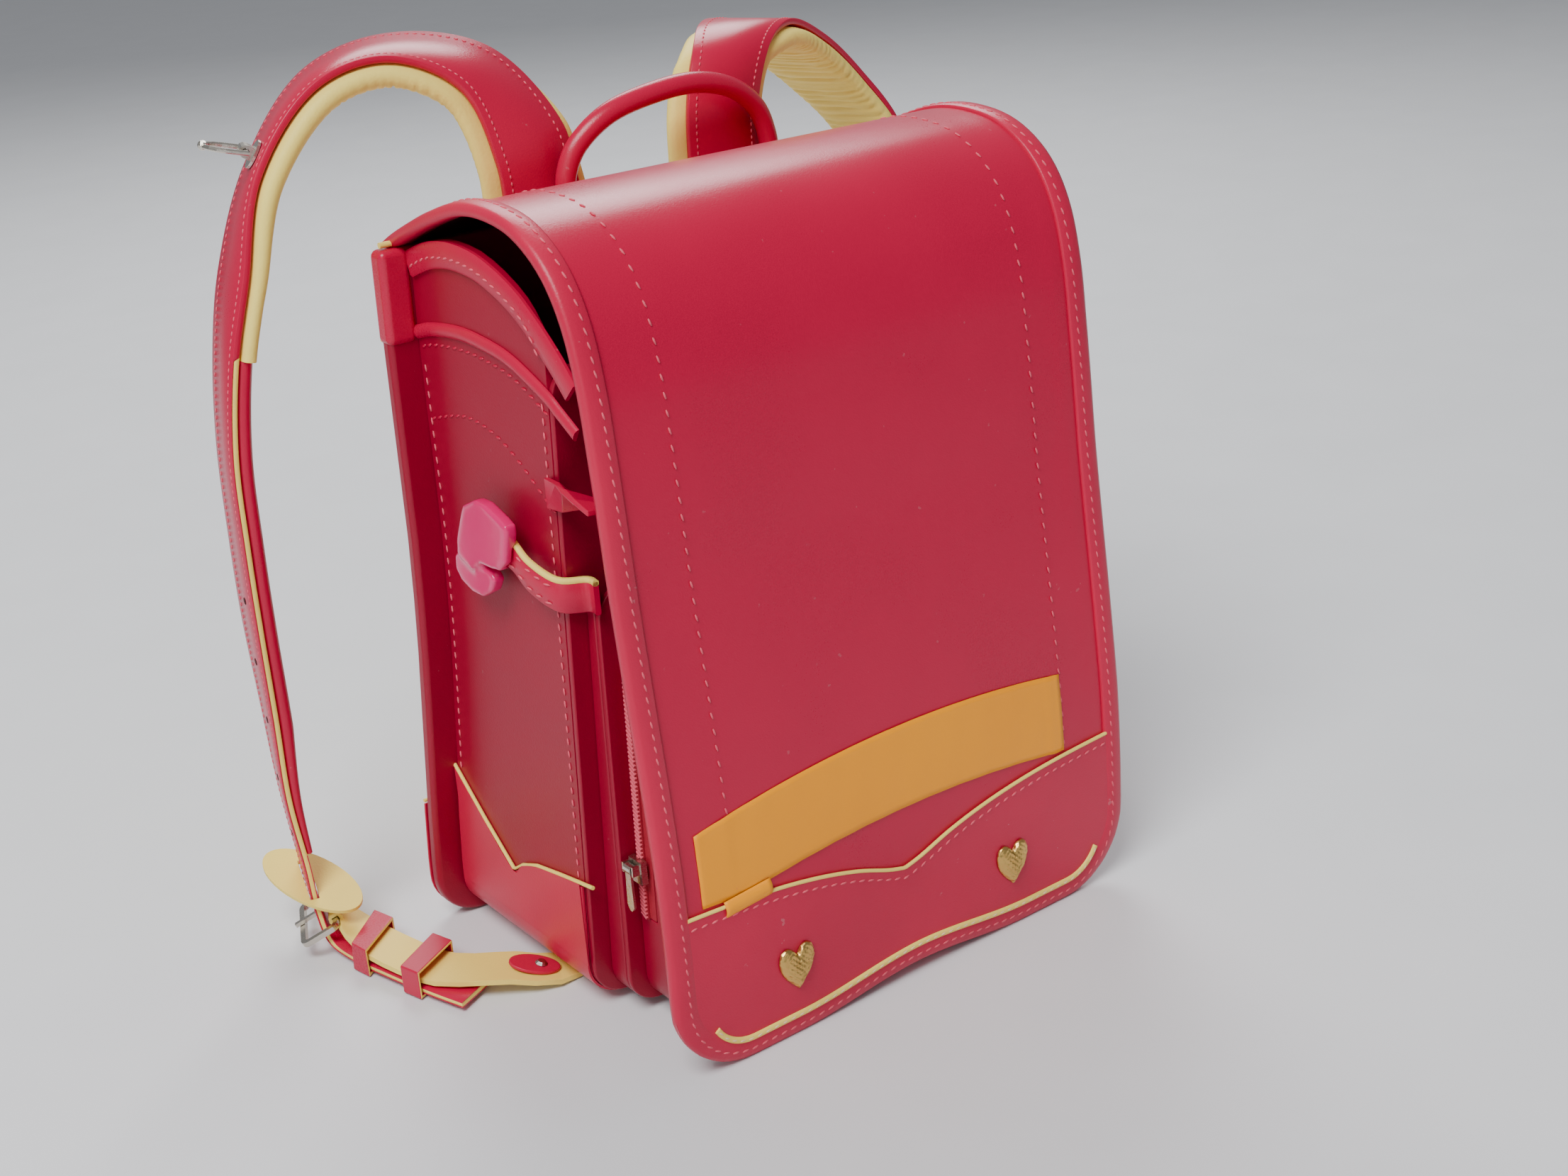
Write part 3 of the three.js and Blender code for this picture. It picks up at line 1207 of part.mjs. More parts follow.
  // Ring in its holder on the left strap, and the patch and rivet that show on the left
  if (side === 'left') {
    const ringSeat = strapSeat(route(RING_SHARE), sign, STRAP_THICKNESS + GAP);
    const hingeSeat = ringSeat.clone().multiply(new THREE.Matrix4().makeTranslation(0, 0, HOLDER_STAND));
    const baseThickness = 1.2;
    const base = new THREE.CylinderGeometry(HOLDER_BASE / 2, HOLDER_BASE / 2, baseThickness, 16)
      .rotateX(Math.PI / 2)
      .translate(0, 0, baseThickness / 2);
    const barrel = new THREE.CylinderGeometry(HOLDER_RADIUS, HOLDER_RADIUS, HOLDER_LENGTH, 12)
      .rotateZ(Math.PI / 2);
    const bore = RING_WIRE_RADIUS + RING_CLEARANCE;
    const boreRod = new THREE.CylinderGeometry(bore, bore, HOLDER_LENGTH * 2, 10).rotateZ(Math.PI / 2);
    add(
      'ring_holder',
      placed(base, ringSeat)
        .add(boxAt(ringSeat, HOLDER_LENGTH, 2 * HOLDER_RADIUS, HOLDER_STAND, 0, 0, HOLDER_STAND / 2))
        .add(placed(barrel, hingeSeat))
        .subtract(placed(boreRod, hingeSeat)),
      materials.nickel,
    );
    const half = RING_WIDTH / 2;
    const arc = Array.from({ length: 9 }, (_, i) => (Math.PI * i) / 8);
    const ringOutline = [
      new THREE.Vector2(-half, 0),
      new THREE.Vector2(half, 0),
      ...arc.map((angle) => new THREE.Vector2(
        half * Math.cos(angle),
        RING_REACH - half + half * Math.sin(angle),
      )),
    ];
    const tilt = new THREE.Matrix4().makeRotationX(THREE.MathUtils.degToRad(90 - RING_TILT));
    const ringPlane = hingeSeat.clone().multiply(tilt);
    const knob = new THREE.SphereGeometry(RING_KNOB_RADIUS, 8, 6).translate(0, RING_REACH, 0);
    add(
      'd_ring',
      wireLoop(ringOutline, RING_WIRE_RADIUS, 8, ringPlane).add(placed(knob, ringPlane)),
      materials.nickel,
    );

    const patchFrame = lower(0.32);
    const patchSeat = seat(
      patchFrame.along.clone().cross(patchFrame.out),
      patchFrame.along,
      patchFrame.out,
      patchFrame.middle.clone().addScaledVector(patchFrame.out, LOWER_THICKNESS / 2 + GAP * 1.5),
    );
    const oval = new THREE.Shape().absellipse(0, 0, PATCH_WIDTH / 2, PATCH_LENGTH / 2, 0, Math.PI * 2);
    add('lower_patch', placed(extruded(oval, PATCH_THICKNESS, 16), patchSeat), materials.red);
    const rivet = new THREE.CylinderGeometry(RIVET_RADIUS * 0.6, RIVET_RADIUS, 1.2, 12)
      .rotateX(Math.PI / 2)
      .translate(0, -PATCH_LENGTH * 0.12, PATCH_THICKNESS + GAP + 0.6);
    add('lower_rivet', placed(rivet, patchSeat), materials.nickel);
  }
}

// Side tab: a band on edge from the pocket's side to the hook, as shares of its reach from
// the gusset, of the body's depth and of its own width
const tabRows = [
  { out: -0.657, back: 0.2181, rise: 0 },
  { out: -0.638, back: 0.25, rise: 0 },
  { out: 0.324, back: 0.2835, rise: 0.067 },
  { out: 0.676, back: 0.3617, rise: 0.4 },
  { out: 0.752, back: 0.4202, rise: 0.867 },
  { out: 1, back: 0.4787, rise: 1.2 },
].map((row) => ({
  out: bodyHalf + row.out * TAB_REACH,
  back: row.back * DEPTH,
  rise: row.rise * TAB_WIDTH,
}));
function tabBody(grow) {
  const rings = tabRows.map((row) => {
    const inner = -row.out + TAB_THICKNESS / 2 + grow;
    const outer = -row.out - TAB_THICKNESS / 2 - grow;
    const low = TAB_LEVEL + row.rise - grow;
    const high = TAB_LEVEL + row.rise + TAB_WIDTH + grow;
    return [
      new THREE.Vector3(inner, row.back, low),
      new THREE.Vector3(outer, row.back, low),
      new THREE.Vector3(outer, row.back, high),
      new THREE.Vector3(inner, row.back, high),
    ];
  });
  return loft(rings);
}
add('side_tab', tabBody(0), materials.red);

// Hook at the tab's end: an upper plate with the tab through it, and a foot behind its lower edge
const hookPlate = [
  { y: 0.673, z: 0.891 },
  { y: 0.462, z: 1 },
  { y: 0.327, z: 1 },
  { y: 0.135, z: 0.935 },
  { y: 0, z: 0.87 },
  { y: 0, z: 0.783 },
  { y: 0.077, z: 0.5 },
  { y: 0.192, z: 0.391 },
  { y: 0.5, z: 0.37 },
  { y: 0.654, z: 0.261 },
  { y: 0.865, z: 0.348 },
  { y: 0.846, z: 0.522 },
  { y: 0.75, z: 0.739 },
];
const hookFoot = [
  { y: 0.635, z: 0.348 },
  { y: 0.404, z: 0.304 },
  { y: 0.346, z: 0.239 },
  { y: 0.423, z: 0.109 },
  { y: 0.596, z: 0 },
  { y: 0.75, z: 0 },
  { y: 0.923, z: 0.065 },
  { y: 1, z: 0.174 },
  { y: 0.981, z: 0.304 },
  { y: 0.846, z: 0.435 },
];
const hookOutline = (table) => table.map((row) => new THREE.Vector2(
  HOOK_START + row.y * HOOK_WIDTH,
  HOOK_LEVEL + row.z * HOOK_HEIGHT,
));
const hookFace = -bodyHalf - HOOK_REACH;
add(
  'side_hook',
  acrossX(hookOutline(hookPlate), hookFace, hookFace + HOOK_THICKNESS)
    .add(acrossX(hookOutline(hookFoot), hookFace + 2, hookFace + 2 + HOOK_THICKNESS))
    .subtract(tabBody(GAP)),
  materials.pink,
);

// Twisted tab above it, from the gusset's front seam to behind the flap's edge
const twistRows = [
  { out: 0.131, back: 0.2979, rise: -0.154, turn: 0 },
  { out: 0.192, back: 0.2394, rise: -0.077, turn: 10 },
  { out: 0.231, back: 0.1809, rise: 0.077, turn: 45 },
  { out: 0.192, back: 0.133, rise: 0.154, turn: 75 },
  { out: 0.115, back: 0.0904, rise: 0, turn: 85 },
].map((row) => ({
  out: bodyHalf + row.out * TWIST_WIDTH,
  back: row.back * DEPTH,
  rise: row.rise * TWIST_WIDTH,
  turn: row.turn,
}));
add('twist_tab', loft(twistRows.map((row) => {
  const turn = THREE.MathUtils.degToRad(row.turn);
  const wide = new THREE.Vector3(-Math.sin(turn), 0, Math.cos(turn)).multiplyScalar(TWIST_WIDTH / 2);
  const thick = new THREE.Vector3(Math.cos(turn), 0, Math.sin(turn)).multiplyScalar(TAB_THICKNESS / 2);
  const centre = new THREE.Vector3(-row.out, row.back, TWIST_LEVEL + row.rise);
  return [[-1, -1], [1, -1], [1, 1], [-1, 1]].map(([a, b]) => centre.clone()
    .addScaledVector(wide, a)
    .addScaledVector(thick, b));
})), materials.red);

// The bag's frame: the floor is z = 0, with the origin under the middle of the whole
const box = new THREE.Box3().setFromObject(bag);
const middle = box.getCenter(new THREE.Vector3());
bag.position.set(-middle.x, -middle.y, -box.min.z);
bag.updateMatrixWorld(true);

export default bag;
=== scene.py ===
import bisect
import math

import bmesh
import bpy
from mathutils import Matrix, Vector


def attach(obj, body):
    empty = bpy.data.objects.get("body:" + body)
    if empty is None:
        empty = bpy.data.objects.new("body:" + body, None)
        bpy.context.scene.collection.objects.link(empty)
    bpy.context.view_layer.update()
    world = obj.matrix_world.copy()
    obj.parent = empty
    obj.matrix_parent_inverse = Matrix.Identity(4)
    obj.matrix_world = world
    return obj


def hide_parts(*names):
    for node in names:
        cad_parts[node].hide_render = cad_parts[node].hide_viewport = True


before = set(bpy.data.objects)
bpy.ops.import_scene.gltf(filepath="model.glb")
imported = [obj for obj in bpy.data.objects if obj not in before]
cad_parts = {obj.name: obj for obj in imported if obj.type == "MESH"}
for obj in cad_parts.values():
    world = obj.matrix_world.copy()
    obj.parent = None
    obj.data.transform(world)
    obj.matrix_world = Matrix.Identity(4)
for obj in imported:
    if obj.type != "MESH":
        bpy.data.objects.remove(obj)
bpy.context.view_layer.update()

# Studio: a pale floor, a dim room and three round lamps, seen from the photograph's view of the bag.
# Nothing here is part of the bag. The camera was solved from straight edges in the photograph.
camera_data = bpy.data.cameras.new("camera")
camera_data.sensor_width = 36
camera_data.lens = 48.05
camera_data.clip_end = 60
camera = bpy.data.objects.new("camera", camera_data)
camera.location = (-0.5186, -0.7411, 0.5210)
camera.rotation_euler = (1.18166, 0.06312, -0.66198)
bpy.context.collection.objects.link(camera)
bpy.context.scene.camera = camera

world = bpy.data.worlds.new("studio")
world.use_nodes = True
world.node_tree.nodes["Background"].inputs["Color"].default_value = (0.93, 0.95, 1.0, 1)
world.node_tree.nodes["Background"].inputs["Strength"].default_value = 0.3
bpy.context.scene.world = world
lights = [
    ("key", (-1.3, -0.7, 2.2), (0.0, 0.0, 0.25), 1.3, 66),
    ("fill", (-2.2, -1.6, 1.0), (0.0, 0.0, 0.2), 1.8, 10),
    ("rim", (0.9, 1.5, 1.9), (0.0, 0.0, 0.3), 1.4, 40),
]
for name, place, aim, size, power in lights:
    light = bpy.data.lights.new(name, "AREA")
    light.shape = "DISK"
    light.size = size
    light.energy = power
    lamp = bpy.data.objects.new(name, light)
    lamp.location = place
    lamp.rotation_euler = (Vector(aim) - Vector(place)).to_track_quat("-Z", "Y").to_euler()
    bpy.context.collection.objects.link(lamp)

MIX_SHARE, MIX_FIRST, MIX_SECOND, MIX_COLOUR = 0, 6, 7, 2  # sockets of a colour Mix node
TONE_SCALE = 14.0  # the slow drift of tone over a piece
SCUFF_SCALE = 210.0
SCUFF_START = 0.73  # only the peaks of the noise are scuffed
CELLS_PER_GRAIN = 1.3
RELIEF_DEPTH = 0.0006
SHEEN = 0.32
COAT_ROUGHNESS = 0.28


class Maths:
    """A value in a node tree that adds, multiplies and compares like a number."""

    def __init__(self, tree, socket):
        self.tree = tree
        self.socket = socket

    def node(self, kind, output=0, inputs=(), **settings):
        """Any node, from its settings and the values or links of its sockets."""
        made = self.tree.nodes.new(kind)
        for key, value in settings.items():
            setattr(made, key, value)
        for key, value in inputs:
            if isinstance(value, Maths):
                self.tree.links.new(value.socket, made.inputs[key])
            else:
                made.inputs[key].default_value = value
        return Maths(self.tree, made.outputs[output])

    def math(self, operation, first, second):
        return self.node("ShaderNodeMath", 0, [(0, first), (1, second)], operation=operation)

    def blend(self, first, second):
        """The mix of two colours by this value."""
        inputs = [(MIX_SHARE, self), (MIX_FIRST, first), (MIX_SECOND, second)]
        return self.node("ShaderNodeMix", MIX_COLOUR, inputs, data_type="RGBA")

    def __add__(self, other):
        return self.math("ADD", self, other)

    def __sub__(self, other):
        return self.math("SUBTRACT", self, other)

    def __rsub__(self, other):
        return self.math("SUBTRACT", other, self)

    def __mul__(self, other):
        return self.math("MULTIPLY", self, other)

    def __gt__(self, other):
        return self.math("GREATER_THAN", self, other)

    __radd__ = __add__
    __rmul__ = __mul__


def toned(colour, times, plus=0.0):
    return tuple(min(1, c * times + plus) for c in colour) + (1,)


def surface_material(
    name, colour, rough, grain=900, relief=0.12, vary=0.16, wear=0.0, metal=0.0, coat=0.0
):
    """A finish whose tone and gloss drift over the object, with a fine grain in its relief."""
    material = bpy.data.materials.new(name)
    material.use_nodes = True
    tree = material.node_tree
    shader = tree.nodes["Principled BSDF"]
    place = Maths(tree, None).node("ShaderNodeTexCoord", "Object")

    def noise(scale, detail):
        inputs = [("Vector", place), ("Scale", scale), ("Detail", detail)]
        return place.node("ShaderNodeTexNoise", 0, inputs)

    drift = noise(TONE_SCALE, 3.0)
    fine = noise(float(grain), 2.0)
    scuffs = noise(SCUFF_SCALE, 6.0)
    cells = place.node("ShaderNodeTexVoronoi", 0, [("Vector", place), ("Scale", grain * CELLS_PER_GRAIN)])
    worn = (scuffs > SCUFF_START) * wear
    base = drift.blend(toned(colour, 1 - vary), toned(colour, 1 + vary))
    base = worn.blend(base, toned(colour, 0.6, 0.25))
    tree.links.new(base.socket, shader.inputs["Base Color"])
    gloss = (drift - 0.5) * 0.16 + (fine - 0.5) * 0.1 + worn * 0.25 + rough
    tree.links.new(gloss.socket, shader.inputs["Roughness"])
    height = cells * 0.5 + fine * 0.5 + drift * 0.8
    inputs = [("Height", height), ("Strength", relief), ("Distance", RELIEF_DEPTH)]
    bump = place.node("ShaderNodeBump", 0, inputs)
    tree.links.new(bump.socket, shader.inputs["Normal"])
    shader.inputs["Specular IOR Level"].default_value = SHEEN
    shader.inputs["Metallic"].default_value = metal
    shader.inputs["Coat Weight"].default_value = coat
    shader.inputs["Coat Roughness"].default_value = COAT_ROUGHNESS
    return material


FLOOR_REACH = 14
floor_mesh = bmesh.new()
bmesh.ops.create_grid(floor_mesh, x_segments=4, y_segments=4, size=FLOOR_REACH)
floor_data = bpy.data.meshes.new("floor")
floor_mesh.to_mesh(floor_data)
floor_mesh.free()
floor = bpy.data.objects.new("floor", floor_data)
floor_data.materials.append(surface_material("floor_pale", (0.74, 0.75, 0.77), 0.7, 60, 0.02, 0.03))
bpy.context.collection.objects.link(floor)

# Flap: one firm sheet of red leather from the back panel over the crest to the hem, with a near-black
# sheet under it as painted shade. A folded strip binds its edge and is sewn through. Its side view is
# drawn in millimetres, and a point on it is (across, up along the face, height off the inner face).
red = surface_material("red_leather", (0.50, 0.0, 0.042), 0.3, 1000, 0.1, 0.1, 0.2, coat=0.1)
deep_red = surface_material("deep_red_leather", (0.30, 0.0, 0.023), 0.38, 1000, 0.12, 0.14, 0.15)
trim_red = surface_material("trim_leather", (0.54, 0.006, 0.05), 0.38, 900, 0.14, 0.16, 0.35, coat=0.08)
cream = surface_material("cream_leather", (0.92, 0.69, 0.15), 0.5, 800, 0.14, 0.1, 0.25)
thread = surface_material("thread", (0.74, 0.10, 0.15), 0.6, 2600, 0.3, 0.2)
pale_thread = surface_material("pale_thread", (0.9, 0.62, 0.5), 0.6, 2600, 0.3, 0.2)
SHIFT_ACROSS, SHIFT_DEEP = -0.019, -113.044  # from the drawing's origin to the frame's, millimetres
SHORTEST = 1e-9


def world_point(x, y, z):
    return Vector((x + SHIFT_ACROSS, y + SHIFT_DEEP, z)) / 1000


def smooth_line(points, steps):
    """Points of a smooth curve through rows, a fixed number for each span."""
    line = []
    last = len(points) - 1
    for i in range(last):
        a, b, c, d = (Vector(points[max(0, min(last, i + k))]) for k in (-1, 0, 1, 2))
        bend = 2 * a - 5 * b + 4 * c - d
        twist = 3 * b - a - 3 * c + d
        for step in range(steps):
            t = step / steps
            line.append(0.5 * (2 * b + (c - a) * t + bend * t**2 + twist * t**3))
    line.append(Vector(points[-1]))
    return line


def running_lengths(points):
    """How far along a line each of its points lies."""
    reach = [0.0]
    for a, b in zip(points, points[1:]):
        reach.append(reach[-1] + (b - a).length)
    return reach


def span_at(reach, at):
    """The span of a line that holds a length along it, and the share of the way through the span."""
    i = max(0, min(len(reach) - 2, bisect.bisect_right(reach, at) - 1))
    return i, (at - reach[i]) / max(reach[i + 1] - reach[i], SHORTEST)


def heading(line, i, ahead=2):
    """The way a line runs about one of its points."""
    return line[min(i + ahead, len(line) - 1)] - line[max(i - 1, 0)]


flap_profile = [
    (-4.5, -3.6), (-4.5, 32.4), (-4.1, 63), (-2.6, 95.4), (0.4, 126), (3.8, 156.2), (7.5, 187.2),
    (10.7, 216), (13.2, 244.8), (15.8, 271.8), (18.8, 297), (25, 321.1), (36.3, 339.1), (54, 351),
    (74.1, 355.3), (96.1, 354.6), (119.9, 347.8), (137.1, 341.3), (152.7, 334.8), (160.5, 331),
]
flap_line = smooth_line(flap_profile, 8)
flap_reach = running_lengths(flap_line)
FLAP_FLOOR = 3.6  # the profile starts this far below the floor
FLAP_END = flap_reach[-1] - FLAP_FLOOR


def on_flap(x, s, h):
    i, share = span_at(flap_reach, s + FLAP_FLOOR)
    point = flap_line[i].lerp(flap_line[i + 1], share)
    ahead = heading(flap_line, i).normalized()
    return world_point(x, point.x - ahead.y * h, point.y + ahead.x * h)


BEVEL_FROM = 40  # degrees between two faces, from which their edge is rounded


def finish_piece(name, bm, material, slot, replaces=(), angle=38, bevel=0.0, thick=0.0):
    """Turns a bmesh into a finished piece: walls, rounded edges, smooth shading and rider; slot is not
    used.

    A sheet's faces are turned to the rear, so that its thickness grows towards the front.
    """
    bmesh.ops.recalc_face_normals(bm, faces=bm.faces)
    if thick and sum(face.normal.y for face in bm.faces) > 0:
        bmesh.ops.reverse_faces(bm, faces=bm.faces)
    mesh = bpy.data.meshes.new(name)
    bm.to_mesh(mesh)
    bm.free()
    mesh.shade_smooth()
    mesh.set_sharp_from_angle(angle=math.radians(angle))
    piece = bpy.data.objects.new(name, mesh)
    bpy.context.collection.objects.link(piece)
    mesh.materials.append(material)
    if thick:
        wall = piece.modifiers.new("wall", "SOLIDIFY")
        wall.thickness = thick / 1000
        wall.offset = 1
        wall.use_even_offset = True
    if bevel:
        edge = piece.modifiers.new("edge", "BEVEL")
        edge.width = bevel / 1000
        edge.segments = 2
        edge.limit_method = "ANGLE"
        edge.angle_limit = math.radians(BEVEL_FROM)
        edge.harden_normals = True
    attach(piece, "bag")
    if replaces:
        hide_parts(*replaces)
    return piece


def grid(columns, rows, place, closed=False):
    """A grid of faces, set out by a function of two shares; a closed one is joined to a solid."""
    bm = bmesh.new()
    bmesh.ops.create_grid(bm, x_segments=columns, y_segments=rows, size=1)
    for vert in bm.verts:
        vert.co = place((vert.co.x + 1) / 2, (vert.co.y + 1) / 2)
    if closed:
        bmesh.ops.remove_doubles(bm, verts=bm.verts, dist=1e-6)
        bmesh.ops.holes_fill(bm, edges=[edge for edge in bm.edges if edge.is_boundary])
    return bm


def sampled(path, count):
    """Points at even spacing along a path of (a, b) pairs, with the path's sideways direction."""
    points = [Vector(p) for p in path]
    reach = running_lengths(points)
    out = []
    for k in range(count + 1):
        i, share = span_at(reach, reach[-1] * k / count)
        ahead = heading(points, i)
        side = Vector((-ahead.y, ahead.x)).normalized()
        out.append((points[i].lerp(points[i + 1], share), side))
    return out


def swept(place, path, section, count):
    """A closed section of (sideways, height) pairs carried along a path on a face."""
    rows = sampled(path, count)
    corners = len(section)

    def point(u, v):
        centre, side = rows[round(v * count)]
        across, height = section[round(u * corners) % corners]
        return place(centre.x + side.x * across, centre.y + side.y * across, height)

    return grid(corners, count, point, closed=True)


THREAD_SLANT = 0.22
THREAD_FLATNESS = 0.8


def lay_thread(bm, centre, ahead, out, size):
    """One short thread: a ball stretched along a direction on a face, its half sizes in millimetres."""
    turn = Matrix((ahead, out.cross(ahead), out)).transposed().to_4x4()
    scale = Matrix.Diagonal((*(half / 1000 for half in size), 1))
    bmesh.ops.create_icosphere(
        bm, subdivisions=1, radius=1, matrix=Matrix.Translation(centre) @ turn @ scale
    )


def stitched(name, place, paths, height, material, pitch=5.2, size=(1.9, 0.55)):
    """Rows of short threads along paths on a face, each lying a little across its row."""
    bm = bmesh.new()
    long, wide = size
    for path in paths:
        length = running_lengths([Vector(p) for p in path])[-1]
        count = max(2, round(length / pitch))
        rows = sampled(path, count * 2)
        for k in range(1, count * 2, 2):
            centre = place(*rows[k][0], height)
            ahead = (place(*rows[k + 1][0], height) - place(*rows[k - 1][0], height)).normalized()
            out = (place(*rows[k][0], height + 1) - centre).normalized()
            side = out.cross(ahead).normalized()
            ahead = (ahead + side * THREAD_SLANT).normalized()
            lay_thread(bm, centre, ahead, out, (long, wide, wide * THREAD_FLATNESS))
    return finish_piece(name, bm, material, "red_leather", angle=80)


FLAP_HALF = 131.0
HEM_RADIUS = 38
HEM_LIFT = 5.5
HEM_LIFT_REACH = 0.72  # share of the hem's flat part that the lift takes up
EDGE_STEPS = 40
ARC_STEPS = 10


def hem_sizes(inset, hem_inset):
    """The flap's half width, its corners' radius and the half length of its flat hem, at an inset."""
    half = FLAP_HALF - inset
    radius = HEM_RADIUS - max(inset, hem_inset)
    return half, radius, half - radius


def hem_lift(x, flat):
    """How far the hem rises towards its middle."""
    share = max(0.0, 1 - abs(x) / (flat * HEM_LIFT_REACH))
    return HEM_LIFT * (3 * share**2 - 2 * share**3)


def hem_path(inset, hem_inset, top):
    """The flap's edge at an inset, from the left side's top, round the hem, to the right side's."""
    half, radius, flat = hem_sizes(inset, hem_inset)
    fall = top - hem_inset - radius
    path = [(-half, top - fall * k / EDGE_STEPS) for k in range(EDGE_STEPS + 1)]
    for k in range(1, ARC_STEPS + 1):
        turn = math.pi / 2 * k / ARC_STEPS
        path.append((-flat - radius * math.cos(turn), hem_inset + radius - radius * math.sin(turn)))
    left = list(path)
    for k in range(1, EDGE_STEPS):
        x = -flat + 2 * flat * k / EDGE_STEPS
        path.append((x, hem_inset + hem_lift(x, flat)))
    return path + [(-x, s) for x, s in reversed(left)]


def hem_level(x, inset=0.0, hem_inset=0.0):
    """The height of the same edge at a place across the flap."""
    half, radius, flat = hem_sizes(inset, hem_inset)
    if abs(x) > flat:
        return hem_inset + radius - math.sqrt(max(0.0, radius**2 - (abs(x) - flat) ** 2))
    return hem_inset + hem_lift(x, flat)


CORNER_SHARE = 0.2  # share of the columns that goes round each corner


def edge_spread(u, half, radius=HEM_RADIUS):
    """Columns across the flap, closer together round its lower corners."""
    near = min(u, 1 - u)
    if near < CORNER_SHARE:
        x = half - radius * (1 - math.cos(math.pi / 2 * near / CORNER_SHARE))
        return -x if u < 0.5 else x
    return (u - 0.5) / (0.5 - CORNER_SHARE) * (half - radius)


def hump(at, centre, reach):
    """A smooth hump, one high at its centre."""
    return math.exp(-(((at - centre) / reach) ** 2))


SHEET_INSET = 0.6
SHADE_SHEET_INSET = 1.6
BINDING_INSET = 0.9
DISH_DEPTH = 0.9
FOLD_HEIGHT = 0.5


def flap_point(u, v):
    x = edge_spread(u, FLAP_HALF - SHEET_INSET)
    low = hem_level(x) + SHEET_INSET
    s = low + (FLAP_END - low) * v
    fold = FOLD_HEIGHT * hump(x, 115, 4) * hump(s, 250, 120)
    dish = DISH_DEPTH * math.cos(math.pi * x / (2 * FLAP_HALF)) * hump(s, 215, 110)
    return on_flap(x, s, fold - dish)


def shade_sheet_point(u, v):
    x = edge_spread(u, FLAP_HALF - SHADE_SHEET_INSET)
    low = hem_level(x) + SHADE_SHEET_INSET
    return on_flap(x, low + (FLAP_END - 2 - low) * v, -0.45)


finish_piece("flap_sheet", grid(60, 130, flap_point), red, "red_leather", ["flap"], thick=3.2, bevel=0.5)
# The near-black sheet under the flap is painted shade: the flap's underside coloured as if in shadow.
lining = surface_material("flap_underside_painted_shade", (0.055, 0.004, 0.008), 0.6, 700, 0.15, 0.2)
finish_piece("flap_inside", grid(40, 90, shade_sheet_point), lining, "red_leather", thick=0.4)
binding = [
    (10.2, 3.1), (10.2, 4.2), (9.4, 4.7), (5, 5.0), (1.2, 4.7), (-0.5, 3.8), (-0.9, 1.6),
    (-0.5, -0.3), (1.2, -1.0), (9, -0.9), (9.4, -0.2), (1.0, 0.2), (0.5, 1.6), (1.0, 3.0),
]
binding_path = hem_path(BINDING_INSET, BINDING_INSET, FLAP_END)
finish_piece(
    "flap_edge_binding", swept(on_flap, binding_path, binding, 300), trim_red, "red_leather",
    ["flap_binding"], angle=60,
)
stitched("binding_stitches", on_flap, [hem_path(7.2, 4.6, FLAP_END - 4)], 4.95, thread)
flap_rows = [[(x, s) for s in range(78, math.ceil(FLAP_END - 30), 8)] for x in (-94.5, 94.5)]
stitched("flap_stitches", on_flap, flap_rows, 3.3, thread, pitch=7)

# Lower trim of the flap: a second layer of leather with a notched top edge and cream piping in it,
# and a cream strip sewn above the hem. A bare orange tape is glued across, its loose scrap over the
# piping, and two gilt heart studs are riveted through the trim.
TRIM_HALF = 120.7
TRIM_HEIGHT = 3.3
TRIM_RADIUS = 28
trim_rows = [
    (1, 0), (0.83, 0.05), (0.69, 0.11), (0.54, 0.21), (0.38, 0.37), (0.22, 0.6), (0.08, 0.88), (0, 1),
]


def bracket(half, level, dip, shift):
    """A level line that dips to a notch near its middle, from left to right."""
    sides = [(-a, d) for a, d in trim_rows] + [(a, d) for a, d in reversed(trim_rows[:-1])]
    return [(a * half + shift * (1 - abs(a)), level - d * dip) for a, d in sides]


def height_of(path, x):
    for (x0, z0), (x1, z1) in zip(path, path[1:]):
        if x0 <= x <= x1:
            return z0 + (z1 - z0) * (x - x0) / (x1 - x0)
    return path[0][1] if x < path[0][0] else path[-1][1]


trim_edge = bracket(TRIM_HALF, 77, 21, -5.5)
notch = len(trim_rows) - 1
trim_line = smooth_line(trim_edge[:notch + 1], 6)[:-1] + smooth_line(trim_edge[notch:], 6)


def trim_point(u, v):
    x = edge_spread(u, TRIM_HALF, TRIM_RADIUS)
    low = hem_level(x, 10.3, 6.7)
    return on_flap(x, low + (height_of(trim_line, x) - low) * v, TRIM_HEIGHT)


finish_piece(
    "flap_lower_trim", grid(80, 8, trim_point), trim_red, "trim_leather", ["flap_trim"],
    thick=1.3, bevel=0.3,
)
PIPING_SIDES = 10


def piped(name, place, path, radius, rise, count, replaces=()):
    """A cream piping: a round cord of leather along a path on a face."""
    turns = [2 * math.pi * k / PIPING_SIDES for k in range(PIPING_SIDES)]
    section = [(radius * math.cos(turn), rise + radius * math.sin(turn)) for turn in turns]
    cord = swept(place, path, section, count)
    finish_piece(name, cord, cream, "cream_leather", replaces, angle=70)


piped("flap_edge_piping", on_flap, trim_line, 0.85, 4.3, 160, ["flap_piping"])
stitched("trim_stitches", on_flap, [[(x, s - 4.6) for x, s in trim_line]], 4.7, thread)
strip_path = [p for p in hem_path(17, 10, 60) if p[1] < 24]
strip_section = [(-1.4, 4.4), (-1.4, 5.2), (-0.8, 5.7), (0.8, 5.7), (1.4, 5.2), (1.4, 4.4)]
finish_piece(
    "hem_strip_sewn", swept(on_flap, strip_path, strip_section, 130), cream, "cream_leather",
    ["hem_strip"], angle=60,
)
stitched("hem_strip_stitches", on_flap, [strip_path], 5.75, pale_thread, pitch=4.6, size=(1.4, 0.3))

tape_paint = surface_material("tape_film", (1.0, 0.34, 0.0), 0.4, 500, 0.08, 0.08)
TAPE_HALF = 19
TAPE_BOW = 9
TAPE_HEIGHT = 3.35


